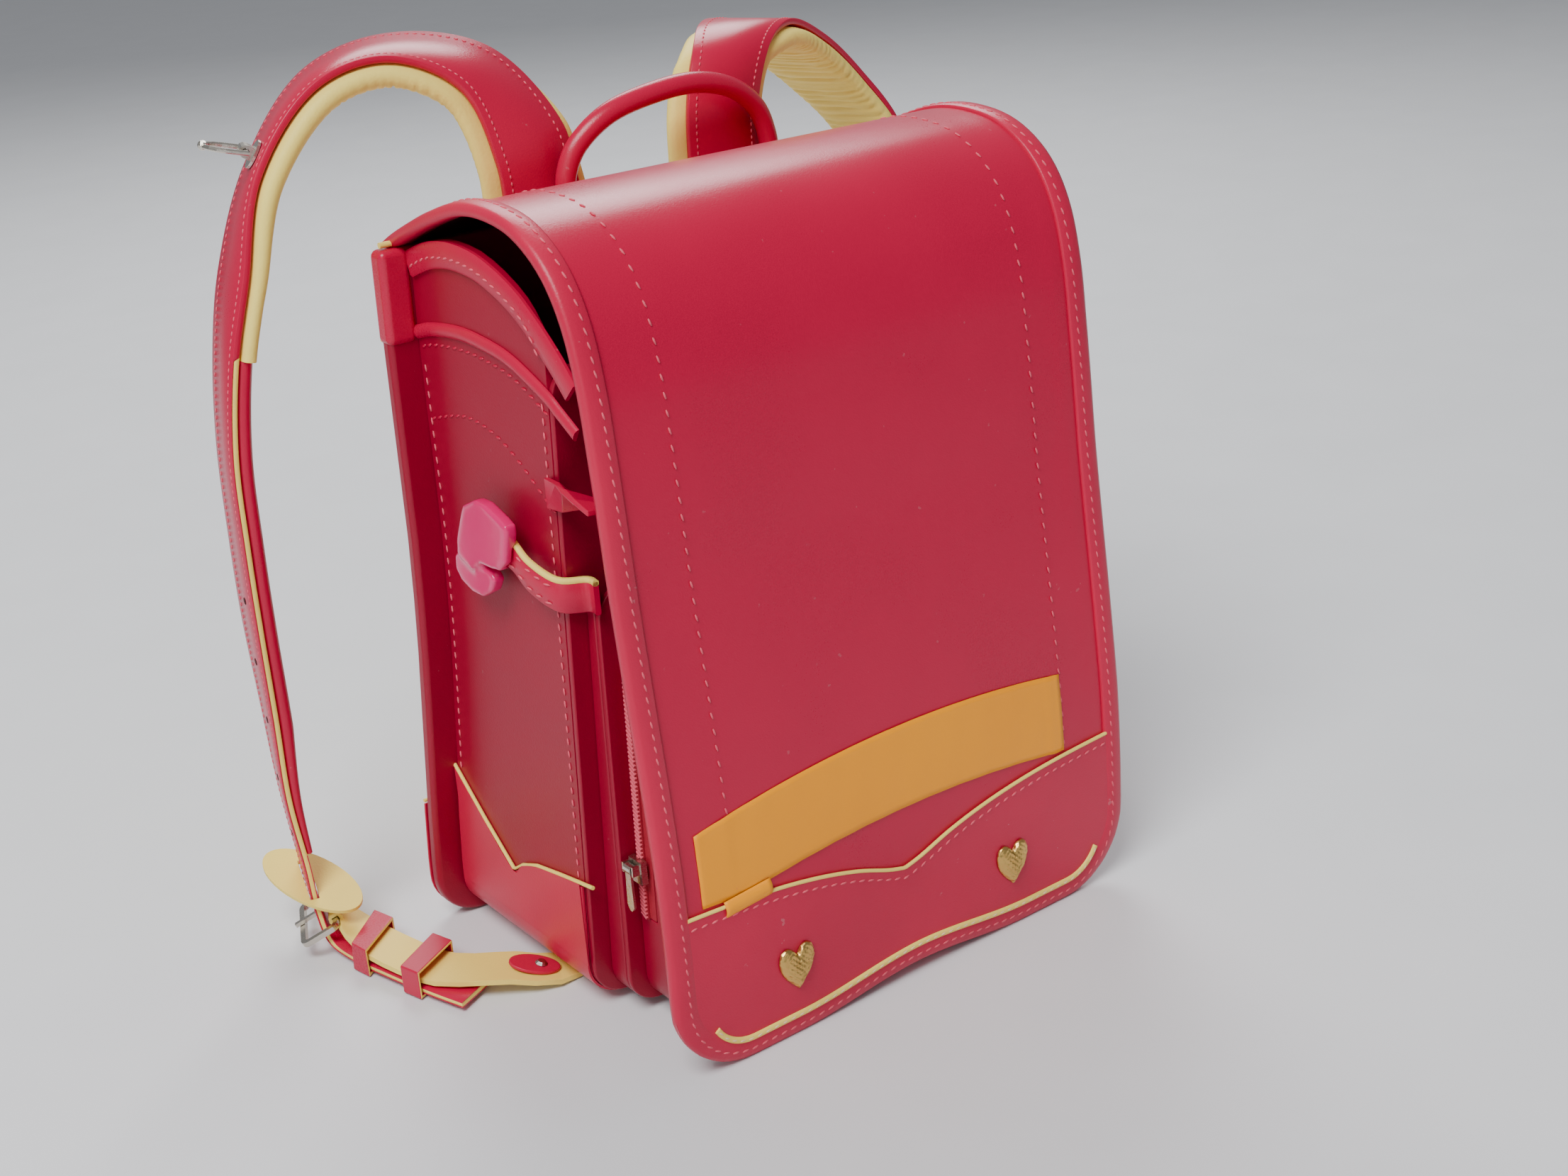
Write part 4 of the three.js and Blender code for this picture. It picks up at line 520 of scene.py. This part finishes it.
def tape_point(u, v):
    """The tape bows upwards, is creased near both ends and is cut along the trim's piping."""
    x = -112 + 206 * u
    middle = 103.2 - TAPE_BOW * (2 * u - 1.1) ** 2
    low = max(middle - TAPE_HALF, height_of(trim_line, x) + 2.2)
    s = low + (middle + TAPE_HALF - low) * v
    crease = 0.35 * (hump(x, -97, 1.2) + hump(x, 87, 1.2))
    ripple = 0.1 * math.sin(x * 0.35 + s * 0.12) * math.sin(s * 0.21)
    return on_flap(x, s, TAPE_HEIGHT + crease + ripple)


def scrap_point(u, v):
    return on_flap(-102 + 24 * u, 70.5 + 2 * u + 7.5 * v, 5.6 - 1.6 * (2 * v - 1) ** 2)


finish_piece("tape_strip", grid(90, 14, tape_point), tape_paint, "tape", ["tape"], thick=0.35, angle=60)
finish_piece("tape_scrap", grid(12, 8, scrap_point), tape_paint, "tape", thick=0.3, angle=60)

gold = surface_material("worn_gold", (0.66, 0.43, 0.13), 0.3, 420, 0.9, 0.3, 0.4, metal=1.0)
HEART_WIDTH, HEART_LENGTH, HEART_RISE = 18.6, 22, 3.1
HEART_PLACE = 63  # from the notch to a stud
PEBBLE, PEBBLE_DEPTH = 2.4, 0.5  # radians for each millimetre, and millimetres
heart_rows = [
    (0, -0.5), (0.16, -0.36), (0.33, -0.2), (0.46, 0.0), (0.5, 0.2), (0.44, 0.38), (0.28, 0.46),
    (0.12, 0.4), (0, 0.28), (-0.12, 0.4), (-0.28, 0.46), (-0.44, 0.38), (-0.5, 0.2), (-0.46, 0.0),
    (-0.33, -0.2), (-0.16, -0.36), (0, -0.5),
]
heart_line = smooth_line(heart_rows, 3)


def heart_point(sign):
    """A domed heart with a pebbled face, on one side of the notch."""

    def point(u, v):
        x, z = heart_line[round(u * (len(heart_line) - 1))]
        spread = math.cos(math.pi / 2 * v)
        rise = HEART_RISE * math.sin(math.pi / 2 * v) ** 0.8
        across, along = x * HEART_WIDTH * spread, z * HEART_LENGTH * spread + 0.6 * v
        pebbles = PEBBLE_DEPTH * math.sin(across * PEBBLE) * math.sin(along * PEBBLE)
        dent = pebbles * min(1, 3 * (1 - spread) + 0.3)
        return on_flap(sign * HEART_PLACE - 5.5 + across, 34 + along, 4.9 + rise + dent)

    return point


for side, sign in (("left", -1), ("right", 1)):
    finish_piece(
        f"heart_boss_{side}", grid(144, 36, heart_point(sign), closed=True), gold, "gold_metal",
        [f"heart_stud_{side}"], angle=70,
    )

# Back panel: a board covered in dark red leather, with a sewn border, a trim with cream piping below,
# and a cloth-covered cushion that is swollen a little, as stuffing does. Folded caps of leather close
# the panel's upper corners over the gusset.
JOIN_DISTANCE = 2e-5
FLAT_ANGLE = 1.2  # degrees: faces nearer than this to one plane are joined


def cad_copy(name):
    """A copy of a frame node's mesh, its flat faces joined up, ready for rounding."""
    bm = bmesh.new()
    bm.from_mesh(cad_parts[name].data)
    bmesh.ops.remove_doubles(bm, verts=bm.verts, dist=JOIN_DISTANCE)
    bmesh.ops.dissolve_limit(
        bm, angle_limit=math.radians(FLAT_ANGLE), verts=bm.verts, edges=bm.edges
    )
    return bm


def dressed(name, material, slot, bevel=0.6, angle=38):
    return finish_piece(f"{name}_made", cad_copy(name), material, slot, [name], angle, bevel)


back_profile = [
    (333.4, 158.9), (291.6, 161.3), (252, 162.4), (216, 163.2), (180, 165.8), (147.6, 169.6),
    (111.6, 174.8), (75.6, 180.9), (43.2, 185.7), (14.4, 188), (-10.8, 188.4),
]
back_line = smooth_line(back_profile, 6)[::-1]


def on_back(x, z, h):
    return world_point(x, height_of(back_line, z) + h, z)


dressed("back_panel", deep_red, "deep_red_leather", 2.6)
dressed("back_trim", trim_red, "trim_leather", 0.4)
back_edge = smooth_line(bracket(138, 66, 14.7, 0), 4)
piped("back_edge_piping", on_back, back_edge, 0.95, 1.0, 120, ["back_piping"])
border = [(-132, 320), (-132, 30), (-126, 14), (-114, 8), (114, 8), (126, 14), (132, 30), (132, 320)]
seams = [border, [(x, z - 4.5) for x, z in back_edge]]
stitched("back_stitches", on_back, seams, 1.5, thread, pitch=6)
dressed("top_piping", cream, "cream_leather", 0)

padding = surface_material("soft_padding", (0.95, 0.73, 0.17), 0.55, 600, 0.2, 0.12, 0.1)
CUSHION_VOXEL = 0.004
CUSHION_SWELL = 0.005  # the furthest that a point of the cushion moves
FILL_FORCE = 4
FILL_TICKS = 20
outline = cad_copy("back_pad")
cushion_mesh = bpy.data.meshes.new("back_cushion")
outline.to_mesh(cushion_mesh)
outline.free()
cushion = bpy.data.objects.new("back_cushion", cushion_mesh)
bpy.context.collection.objects.link(cushion)
bpy.context.view_layer.objects.active = cushion
cushion.select_set(True)
even = cushion.modifiers.new("even", "REMESH")
even.mode = "VOXEL"
even.voxel_size = CUSHION_VOXEL
bpy.ops.object.modifier_apply(modifier="even")
starts = [vert.co.copy() for vert in cushion.data.vertices]
cloth = cushion.modifiers.new("fill", "CLOTH")
cloth.settings.use_pressure = True
cloth.settings.uniform_pressure_force = FILL_FORCE
cloth.settings.effector_weights.gravity = 0
for tick in range(1, FILL_TICKS + 1):
    bpy.context.scene.frame_set(tick)
blown = cushion.evaluated_get(bpy.context.evaluated_depsgraph_get())
ends = [vert.co.copy() for vert in blown.data.vertices]
cushion.modifiers.clear()
bpy.context.scene.frame_set(1)
for vert, start, end in zip(cushion.data.vertices, starts, ends):
    move = end - start
    vert.co = start + move * min(1, CUSHION_SWELL / max(move.length, SHORTEST))
finer = cushion.modifiers.new("finer", "SUBSURF")
finer.levels = finer.render_levels = 1
cushion.data.shade_smooth()
cushion.data.materials.append(padding)
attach(cushion, "bag")
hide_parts("back_pad")

CAP_WIDTH, CAP_DEPTH, CAP_HEIGHT = 14, 10.8, 41
CAP_LEAN = 0.057
for side, sign in (("left", -1), ("right", 1)):
    bm = bmesh.new()
    bmesh.ops.create_cube(bm, size=1)
    for vert in bm.verts:
        x, y, z = 131.7 + vert.co.x * CAP_WIDTH, vert.co.y * CAP_DEPTH, 312.6 + vert.co.z * CAP_HEIGHT
        vert.co = world_point(sign * x, 156 - (z - 312.5) * CAP_LEAN + y, z)
    cap = finish_piece(
        f"corner_cap_{side}", bm, red, "red_leather", [f"corner_wrap_{side}"], angle=60, bevel=3.2
    )
    cap.modifiers["edge"].segments = 4
    hem = [(sign * 137, 293.4), (sign * 126, 293.4)]
    piped(f"corner_cap_edge_{side}", on_back, hem, 0.7, 1.3, 12)

# Main compartment and pockets: dark red leather gussets and fronts. Each side has a bound rim, a sewn
# bead and rows of stitches, and a trim round the base that is edged with cream piping.
for name in (
    "main_gusset", "front_panel", "pocket_gusset", "pocket_front", "zip_pocket_gusset", "zip_pocket_front",
):
    dressed(name, deep_red, "deep_red_leather", 0.8)
dressed("base_trim", trim_red, "trim_leather", 0.4)
rim_middle = [
    (31, 294), (40, 303), (50, 311.5), (59, 318), (67, 323), (80, 328.7), (95, 333), (111, 334.5),
    (123, 333.8), (135, 331.4), (150, 326),
]
rim_seam = [
    (51, 304), (57, 313.5), (65, 320.5), (80, 327.5), (95, 332), (111, 333.5), (123, 332.8),
    (135, 330.5), (149, 325),
]
rim_section = [(-5.6, 0.1), (-5.6, 1.4), (-4.6, 2.1), (4.4, 2.1), (5.6, 1.4), (5.6, 0.1)]
bead_middle = [
    (31, 277), (43, 284), (51, 288.5), (75, 297.8), (95, 301.2), (116, 302.2), (139, 299.8),
    (152, 296.5),
]
bead_seam = [(51, 280), (75, 290.5), (95, 294), (116, 295), (139, 293), (151, 290)]
bead_section = [(-3, 0.1), (-2.8, 1.1), (-1.7, 2), (0, 2.3), (1.7, 2), (2.8, 1.1), (3, 0.1)]
faint_seam = [(53, 238.8), (66.7, 247.2), (80.5, 256), (98.2, 263.4), (121, 265.5), (150.6, 258.3)]
back_row = [(height_of(back_line, z) - 12.5, z) for z in range(60, 292, 8)]
front_row = [(73.5 - 0.064 * z, z) for z in range(30, 290, 8)]
side_edge = [
    (56.4, 67.5), (71.4, 65), (84.5, 62.7), (104, 58.9), (117.3, 53.8), (125.6, 48.2), (147.4, 65),
    (168.4, 82.6), (176, 89),
]
side_edge_line = smooth_line(side_edge, 4)
GUSSET_FACE = 124.5
SIDE_TRIM_FLOOR = 24
SIDE_TRIM_THICKNESS = 0.0003


def on_side(sign):
    """One side of the bag as a face: its first value runs to the rear, its second upwards."""

    def place(y, z, h):
        return world_point(sign * (GUSSET_FACE + h), y, z)

    return place


def side_trim_point(place):
    """A thin layer from low on the side up to its piping."""

    def point(u, v):
        y = 66.5 + 104 * u
        top = height_of(side_edge_line, y) - 0.4
        return place(y, SIDE_TRIM_FLOOR + (top - SIDE_TRIM_FLOOR) * v, 1.72)

    return point


for side, sign in (("left", -1), ("right", 1)):
    place = on_side(sign)
    stitched(f"side_stitches_{side}", place, [back_row, front_row], 0.25, thread, pitch=6)
    stitched(f"rim_stitches_{side}", place, [smooth_line(rim_seam, 4)], 2.2, thread)
    faint_rows = [smooth_line(bead_seam, 4), smooth_line(faint_seam, 4)]
    stitched(f"faint_stitches_{side}", place, faint_rows, 0.1, red, pitch=5.5, size=(2.0, 0.7))
    for name, middle, section, node, angle in (
        ("rim_strip", rim_middle, rim_section, "rim_band", 50),
        ("bead_strip", bead_middle, bead_section, "side_bead", 70),
    ):
        finish_piece(
            f"{name}_{side}", swept(place, smooth_line(middle, 5), section, 60), red, "red_leather",
            [f"{node}_{side}"], angle=angle,
        )
    bm = grid(60, 8, side_trim_point(place))
    bm.normal_update()
    bmesh.ops.solidify(bm, geom=bm.faces[:], thickness=SIDE_TRIM_THICKNESS)
    finish_piece(f"side_trim_{side}", bm, trim_red, "trim_leather")
    piped(f"side_edge_piping_{side}", place, side_edge, 0.9, 1.0, 60, [f"side_piping_{side}"])

# Zip of the outer pocket: a woven red tape round the pocket's side and top, with two rows of moulded
# teeth on each side of the bag, slanted as they lie when the zip is closed.
zip_red = surface_material("zip_cloth", (0.36, 0.01, 0.028), 0.62, 1500, 0.4, 0.15)
TOOTH_SIZE = (0.0012, 0.0042, 0.0010)
TOOTH_PITCH = 2
TOOTH_SLANT = 28
dressed("zipper", zip_red, "zip_tape", 0.3)
teeth = bmesh.new()
tooth_turn = Matrix.Rotation(math.radians(TOOTH_SLANT), 4, "X") @ Matrix.Diagonal((*TOOTH_SIZE, 1))
for z in range(54, 166, TOOTH_PITCH):
    for sign in (-1, 1):
        place = world_point(sign * 109.9, 43.7 - 0.03 * z, z)
        bmesh.ops.create_cube(teeth, size=1, matrix=Matrix.Translation(place) @ tooth_turn)
finish_piece("zip_teeth", teeth, thread, "zip_tape", angle=30, bevel=0.15)

# Closure and metal parts: a leather tongue from inside the flap to a clasp under the base, and all the
# bag's worn nickel pieces, which keep the frame's own shapes: clasp, fitting, zip slider and pull,
# D-ring and its holder, rivet and buckles.
dressed("lock_tongue", red, "red_leather", 0.5)
nickel = surface_material("worn_nickel", (0.60, 0.56, 0.49), 0.26, 500, 0.12, 0.2, 0.5, metal=1.0)
for name in (
    "lock_clasp", "strap_fitting", "zip_slider", "zip_pull", "ring_holder", "d_ring", "lower_rivet",
    "buckle_left", "buckle_right", "buckle_prong_left", "buckle_prong_right",
):
    for material_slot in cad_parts[name].material_slots:
        material_slot.material = nickel

# Handle: a roll of red leather bent to an arch, both its ends fixed in the fitting at the top of the
# back, with the seam of the roll as a low ridge along its inner side.
HANDLE_RADIUS = 4.5
SEAM_RIDGE = 0.7
handle_rows = [
    (-0.5, 0, 1), (-0.5, 0.28, 0.98), (-0.44, 0.58, 0.9), (-0.3, 0.84, 0.74), (-0.1, 0.97, 0.62),
    (0.1, 1, 0.6), (0.29, 0.88, 0.7), (0.43, 0.62, 0.88), (0.49, 0.3, 0.98), (0.5, 0, 1),
]
handle_line = smooth_line(
    [(17 + a * 112, 161.05 - (1 - b) * 17, 334.1 + r * 43.3) for a, r, b in handle_rows], 6
)


def handle_point(u, v):
    i = round(v * (len(handle_line) - 1))
    ahead = heading(handle_line, i, 1).normalized()
    side = ahead.cross(Vector((0, -1, 0.25))).normalized()
    out = side.cross(ahead)
    angle = 2 * math.pi * u
    radius = HANDLE_RADIUS + SEAM_RIDGE * max(0, math.cos(angle - math.pi)) ** 8
    turned = side * radius * math.cos(angle) + out * radius * math.sin(angle)
    return world_point(*(handle_line[i] + turned))


finish_piece(
    "handle_roll", grid(18, len(handle_line) - 1, handle_point, closed=True), red, "red_leather",
    ["handle"], angle=70,
)

# Shoulder straps: a band of red leather with a cream core at its edge. A wrinkled cushion is sewn
# below its upper part, a folded lining below its middle, and the tail is red on both faces. A row
# gives the front edge as shares (out, back, up), the direction across the strap, and its width's share.
strap_top_left = [
    (0.32, 0.89, 0.775, -0.98, 0, 0.2, 1), (0.335, 0.89, 0.835, -0.96, 0.02, 0.26, 1),
    (0.345, 0.89, 0.885, -0.93, 0.12, 0.3, 1), (0.385, 0.935, 0.963, -0.72, 0.62, 0.3, 1),
    (0.515, 0.985, 1, -0.45, 0.88, 0.13, 1), (0.68, 1, 0.985, -0.32, 0.94, 0.03, 0.97),
    (0.835, 1, 0.905, -0.3, 0.95, 0, 0.9), (0.897, 1, 0.803, -0.1, 0.98, 0, 0.84),
]
strap_top_right = [
    (0.35, 0.89, 0.775, -1, 0, 0, 1), (0.355, 0.89, 0.835, -1, 0.02, 0, 1),
    (0.365, 0.89, 0.9, -1, 0.05, 0.02, 1), (0.42, 0.91, 0.951, -0.98, 0.15, 0.05, 1.02),
    (0.53, 0.96, 0.973, -0.8, 0.56, 0.06, 1.04), (0.68, 1.02, 0.944, -0.5, 0.86, 0.05, 1),
    (0.81, 1.05, 0.892, -0.35, 0.94, 0, 0.93), (0.92, 1.04, 0.82, -0.3, 0.95, 0, 0.86),
]
strap_side = [
    (0.949, 1, 0.72, -0.13, 0.98, 0, 0.76), (0.984, 1, 0.62, -0.17, 0.98, 0, 0.72),
    (0.992, 1, 0.52, -0.16, 0.98, 0, 0.7), (0.989, 1.015, 0.42, -0.15, 0.98, 0, 0.67),
    (0.98, 1.04, 0.31, -0.2, 0.97, 0, 0.65), (0.974, 1.06, 0.2, -0.27, 0.96, 0, 0.63),
    (0.955, 1.065, 0.11, -0.26, 0.96, 0, 0.61), (0.95, 1.055, 0.05, -0.32, 0.94, 0, 0.59),
    (0.95, 1.01, 0.019, -0.55, 0.83, 0.02, 0.57), (0.94, 0.92, 0.014, -0.75, 0.66, 0, 0.56),
    (0.915, 0.8, 0.014, -0.83, 0.55, 0, 0.56), (0.88, 0.66, 0.014, -0.88, 0.47, 0, 0.55),
    (0.85, 0.56, 0.014, -0.9, 0.42, 0, 0.54),
]
STRAP_OUT, STRAP_BACK, STRAP_UP = 200, 190, 402
STRAP_WIDTH = 39
STRAP_THICKNESS = 3.0
SPAN_STEPS = 24
STRAP_STEPS = 432  # the strap is told in even steps of its length
CUSHION_FIRST, CUSHION_LAST = 8, 184
CORE_FIRST = 183
TAIL_FIRST = 341


def chord_curve(points, steps):
    """A smooth curve through points whose spans take shares of their chords' square roots."""
    line = []
    ends = [points[0] * 2 - points[1]] + points + [points[-1] * 2 - points[-2]]
    for i in range(1, len(ends) - 2):
        a, b, c, d = ends[i - 1:i + 3]
        p, q, r = ((n - m).length ** 0.5 for m, n in ((a, b), (b, c), (c, d)))
        t1 = ((b - a) / p - (c - a) / (p + q) + (c - b) / q) * q
        t2 = ((c - b) / q - (d - b) / (q + r) + (d - c) / r) * q
        bend = 3 * (c - b) - 2 * t1 - t2
        twist = 2 * (b - c) + t1 + t2
        for k in range(steps):
            t = k / steps
            line.append(b + t1 * t + bend * t**2 + twist * t**3)
    return line + [points[-1]]


def strap_frames(rows, sign):
    """Frames along a strap: front edge, direction across, outward direction and width."""
    front = [Vector((sign * o * STRAP_OUT, b * STRAP_BACK, u * STRAP_UP)) for o, b, u, *_ in rows]
    rear = []
    for start, (*_, across, deep, rise, share) in zip(front, rows):
        rear.append(start + Vector((sign * across, deep, rise)).normalized() * share * STRAP_WIDTH)
    middle = [a.lerp(b, 0.5) for a, b in zip(front, rear)]
    fronts, rears, middles = (chord_curve(line, SPAN_STEPS) for line in (front, rear, middle))
    reach = running_lengths(middles)
    frames = []
    for k in range(STRAP_STEPS + 1):
        i, t = span_at(reach, reach[-1] * k / STRAP_STEPS)
        start = fronts[i].lerp(fronts[i + 1], t)
        across = rears[i].lerp(rears[i + 1], t) - start
        out = (across.cross(heading(middles, i).normalized()) * -sign).normalized()
        frames.append((start, across.normalized(), out, across.length))
    return frames


def on_strap(frames):
    """A strap as a face: steps along it, millimetres across it, height off its lower face."""

    def place(a, b, h):
        k = max(0.0, min(STRAP_STEPS - 1e-6, a))
        i = int(k)
        start, across, out = (frames[i][part].lerp(frames[i + 1][part], k - i) for part in range(3))
        return world_point(*(start + across * b + out * h))

    return place


def strap_solid(frames, first, last, section):
    """A solid between two steps of a strap, from a section that may change along it."""
    corners = len(section(frames[0], 0))

    def point(u, v):
        strap_frame = frames[first + round(v * (last - first))]
        start, across, out, _ = strap_frame
        b, h = section(strap_frame, v)[round(u * corners) % corners]
        return world_point(*(start + across * b + out * h))

    return grid(corners, last - first, point, closed=True)


def band_section(inset, low, high, r, low_end=None, turn=0.0):
    """A flat band's section with rounded corners; its lower face may step up past one share."""

    def section(strap_frame, share):
        width = strap_frame[3]
        base = low if low_end is None or share < turn else low_end
        return [
            (inset + r, base), (width / 2, base), (width - inset - r, base), (width - inset, base + r),
            (width - inset, high - r), (width - inset - r, high), (width / 2, high),
            (inset + r, high), (inset, high - r), (inset, base + r),
        ]

    return section


def lining_section(strap_frame, share):
    """The layer below the strap, as a thick folded edge that thins out towards the buckle."""
    taper = max(0.0, share - 0.72) / 0.28
    return band_section(0.8, -6.4 + 3.6 * taper, -0.1, 1.6 - 0.8 * taper)(strap_frame, share)


CUSHION_THICKNESS = 11.5
CUSHION_OVERHANG = 7
CUSHION_SIDES = 20


def cushion_section(worn_at, worn_reach, depth):
    """The cushion's rounded section, wrinkled on its inner face about one share of its length."""

    def section(strap_frame, share):
        middle = strap_frame[3] / 2
        thick = CUSHION_THICKNESS * (0.72 + 0.28 * math.sin(math.pi * min(1, share * 1.1)))
        half = middle + CUSHION_OVERHANG * (1 - 0.7 * share)
        waves = max(0.0, math.sin(share * 330 + 2 * math.sin(share * 47))) ** 2
        crease = hump(share, worn_at, worn_reach) * waves
        points = []
        for k in range(CUSHION_SIDES):
            angle = 2 * math.pi * k / CUSHION_SIDES
            b, h = math.cos(angle), math.sin(angle)
            b = math.copysign(abs(b) ** 0.55, b)
            h = math.copysign(abs(h) ** 0.7, h)
            uneven = 0.6 + 0.4 * math.sin(k * 1.9 + share * 40)
            dip = depth * crease * max(0.0, 0.4 - h) * uneven
            points.append((middle + (half - dip) * b, -0.3 - thick / 2 + (thick / 2 - dip) * h))
        return points

    return section


tail_hole = surface_material("hole_shadow", (0.05, 0.01, 0.01), 0.8, 900, 0.1, 0.1)
SEAM_INSET = 4.2
SEAM_THREAD = (1.2, 0.5, 0.4)
HOLE_RADIUS, HOLE_FOOT, HOLE_DEPTH = 0.0016, 0.0019, 0.0006
for side, sign, top, wrinkles in (
    ("left", -1, strap_top_left, (0.36, 0.16, 1.3)),
    ("right", 1, strap_top_right, (0.56, 0.24, 1.9)),
):
    frames = strap_frames(top + strap_side, sign)
    place = on_strap(frames)
    for name, first, last, section, material, slot, nodes in (
        ("leather", 0, STRAP_STEPS, band_section(0, 0, STRAP_THICKNESS, 0.3, 2.2, 0.425), red,
         "red_leather", [f"strap_{side}"]),
        ("core", CORE_FIRST, STRAP_STEPS, band_section(0.05, 0, 2.2, 0.25), cream, "cream_leather", []),
        ("tail_skin", TAIL_FIRST, STRAP_STEPS, band_section(0.02, -0.12, 0.4, 0.05), red,
         "red_leather", []),
        ("lining", CUSHION_LAST, TAIL_FIRST, lining_section, red, "red_leather",
         [f"strap_backing_{side}"]),
    ):
        solid = strap_solid(frames, first, last, section)
        finish_piece(f"strap_{name}_{side}", solid, material, slot, nodes, angle=60)
    solid = strap_solid(frames, CUSHION_FIRST, CUSHION_LAST, cushion_section(*wrinkles))
    pad = finish_piece(
        f"strap_cushion_{side}", solid, padding, "padding", [f"strap_pad_{side}"], angle=75
    )

    seams = bmesh.new()
    for near in (True, False):
        row = [(k, SEAM_INSET if near else frames[k][3] - SEAM_INSET) for k in range(4, 428, 4)]
        for (k0, b0), (k1, b1) in zip(row, row[1:]):
            for share in (0.25, 0.75):
                k, b = k0 + (k1 - k0) * share, b0 + (b1 - b0) * share
                centre = place(k, b, STRAP_THICKNESS)
                before, after = (place(k + step, b, STRAP_THICKNESS) for step in (-0.8, 0.8))
                out = (place(k, b, STRAP_THICKNESS + 1) - centre).normalized()
                lay_thread(seams, centre, (after - before).normalized(), out, SEAM_THREAD)
    finish_piece(f"strap_stitches_{side}", seams, thread, "red_leather", angle=80)
    holes = bmesh.new()
    for k in (256, 276, 296, 316, 336):
        centre = place(k, frames[k][3] / 2, STRAP_THICKNESS - 0.1)
        out = (place(k, frames[k][3] / 2, STRAP_THICKNESS + 0.9) - centre).normalized()
        turn = out.to_track_quat("Z", "Y").to_matrix().to_4x4()
        bmesh.ops.create_cone(
            holes, cap_ends=True, segments=16, radius1=HOLE_FOOT, radius2=HOLE_RADIUS,
            depth=HOLE_DEPTH, matrix=Matrix.Translation(centre) @ turn,
        )
    finish_piece(f"strap_holes_{side}", holes, tail_hole, "red_leather", angle=40)

# Buckle gear of each strap: a cream lower strap riveted to the base, an oval guard of cream leather
# behind the buckle, and two red keepers whose cut edges show cream. A red patch covers the foot of
# the left lower strap.
KEEPER_EDGE = 0.8  # faces that look this much along the strap are cut edges
for side, sign in (("left", -1), ("right", 1)):
    dressed(f"lower_strap_{side}", cream, "cream_leather", 0.6)
    dressed(f"strap_guard_{side}", cream, "cream_leather", 0.6)
    along = Vector((sign * 0.32, 0.95, 0))
    for level in ("upper", "lower"):
        loop = cad_copy(f"keeper_{level}_{side}")
        loop.normal_update()
        for face in loop.faces:
            face.material_index = int(abs(face.normal.dot(along)) > KEEPER_EDGE)
        keeper = finish_piece(
            f"keeper_{level}_{side}_made", loop, red, "red_leather", [f"keeper_{level}_{side}"],
            bevel=1.2,
        )
        keeper.data.materials.append(cream)
dressed("lower_patch", trim_red, "trim_leather", 0.5)

# Left side's fittings: a leather band on edge with a raw cream edge and two seams, sewn into the
# pocket's seam, a glossy moulded hook behind it, and a small twisted tab above.
hook_pink = surface_material("hook_gloss", (0.70, 0.0, 0.13), 0.12, 300, 0.04, 0.1, coat=0.6)
HOOK_VOXEL = 0.0009
dressed("twist_tab", red, "red_leather", 0.6)
hook = dressed("side_hook", hook_pink, "hook_plastic", 0, angle=80)
even = hook.modifiers.new("even", "REMESH")
even.mode = "VOXEL"
even.voxel_size = HOOK_VOXEL
even.use_smooth_shade = True
soften = hook.modifiers.new("soften", "SMOOTH")
soften.factor = 0.7
soften.iterations = 14
tab_rows = [
    (-117.6, 41, 197), (-117.8, 47, 197), (-127.9, 53.3, 198), (-131.6, 68, 203),
    (-132.4, 79, 210), (-135, 90, 215),
]
tab_line = smooth_line(tab_rows, 6)
TAB_HALF = 1.2


def tab_band(low, high, half):
    """A band on edge along the tab's line, between two heights, with rounded corners."""
    corners = [(-half, low + 0.6), (-half, high - 0.6), (-half + 0.5, high), (half - 0.5, high)]
    corners += [(-b, low + high - h) for b, h in corners]

    def point(u, v):
        i = round(v * (len(tab_line) - 1))
        ahead = heading(tab_line, i, 1)
        side = Vector((ahead.y, -ahead.x, 0)).normalized()
        across, height = corners[round(u * len(corners)) % len(corners)]
        place = tab_line[i] + side * across
        return world_point(place.x, place.y, place.z + height)

    return grid(len(corners), len(tab_line) - 1, point, closed=True)


def on_tab(y, z, h):
    near = min(tab_line, key=lambda point: abs(point.y - y))
    return world_point(near.x - TAB_HALF - h, y, near.z + z)


leather, raw_edge = tab_band(0, 14.4, TAB_HALF), tab_band(12.6, 15.2, 1.35)
finish_piece("tab_leather", leather, red, "red_leather", ["side_tab"], angle=60)
finish_piece("tab_raw_edge", raw_edge, cream, "cream_leather", angle=60)
tab_seams = [[(y, level) for y in range(54, 88, 3)] for level in (2.6, 10.6)]
stitched("tab_stitches", on_tab, tab_seams, 0.05, thread)
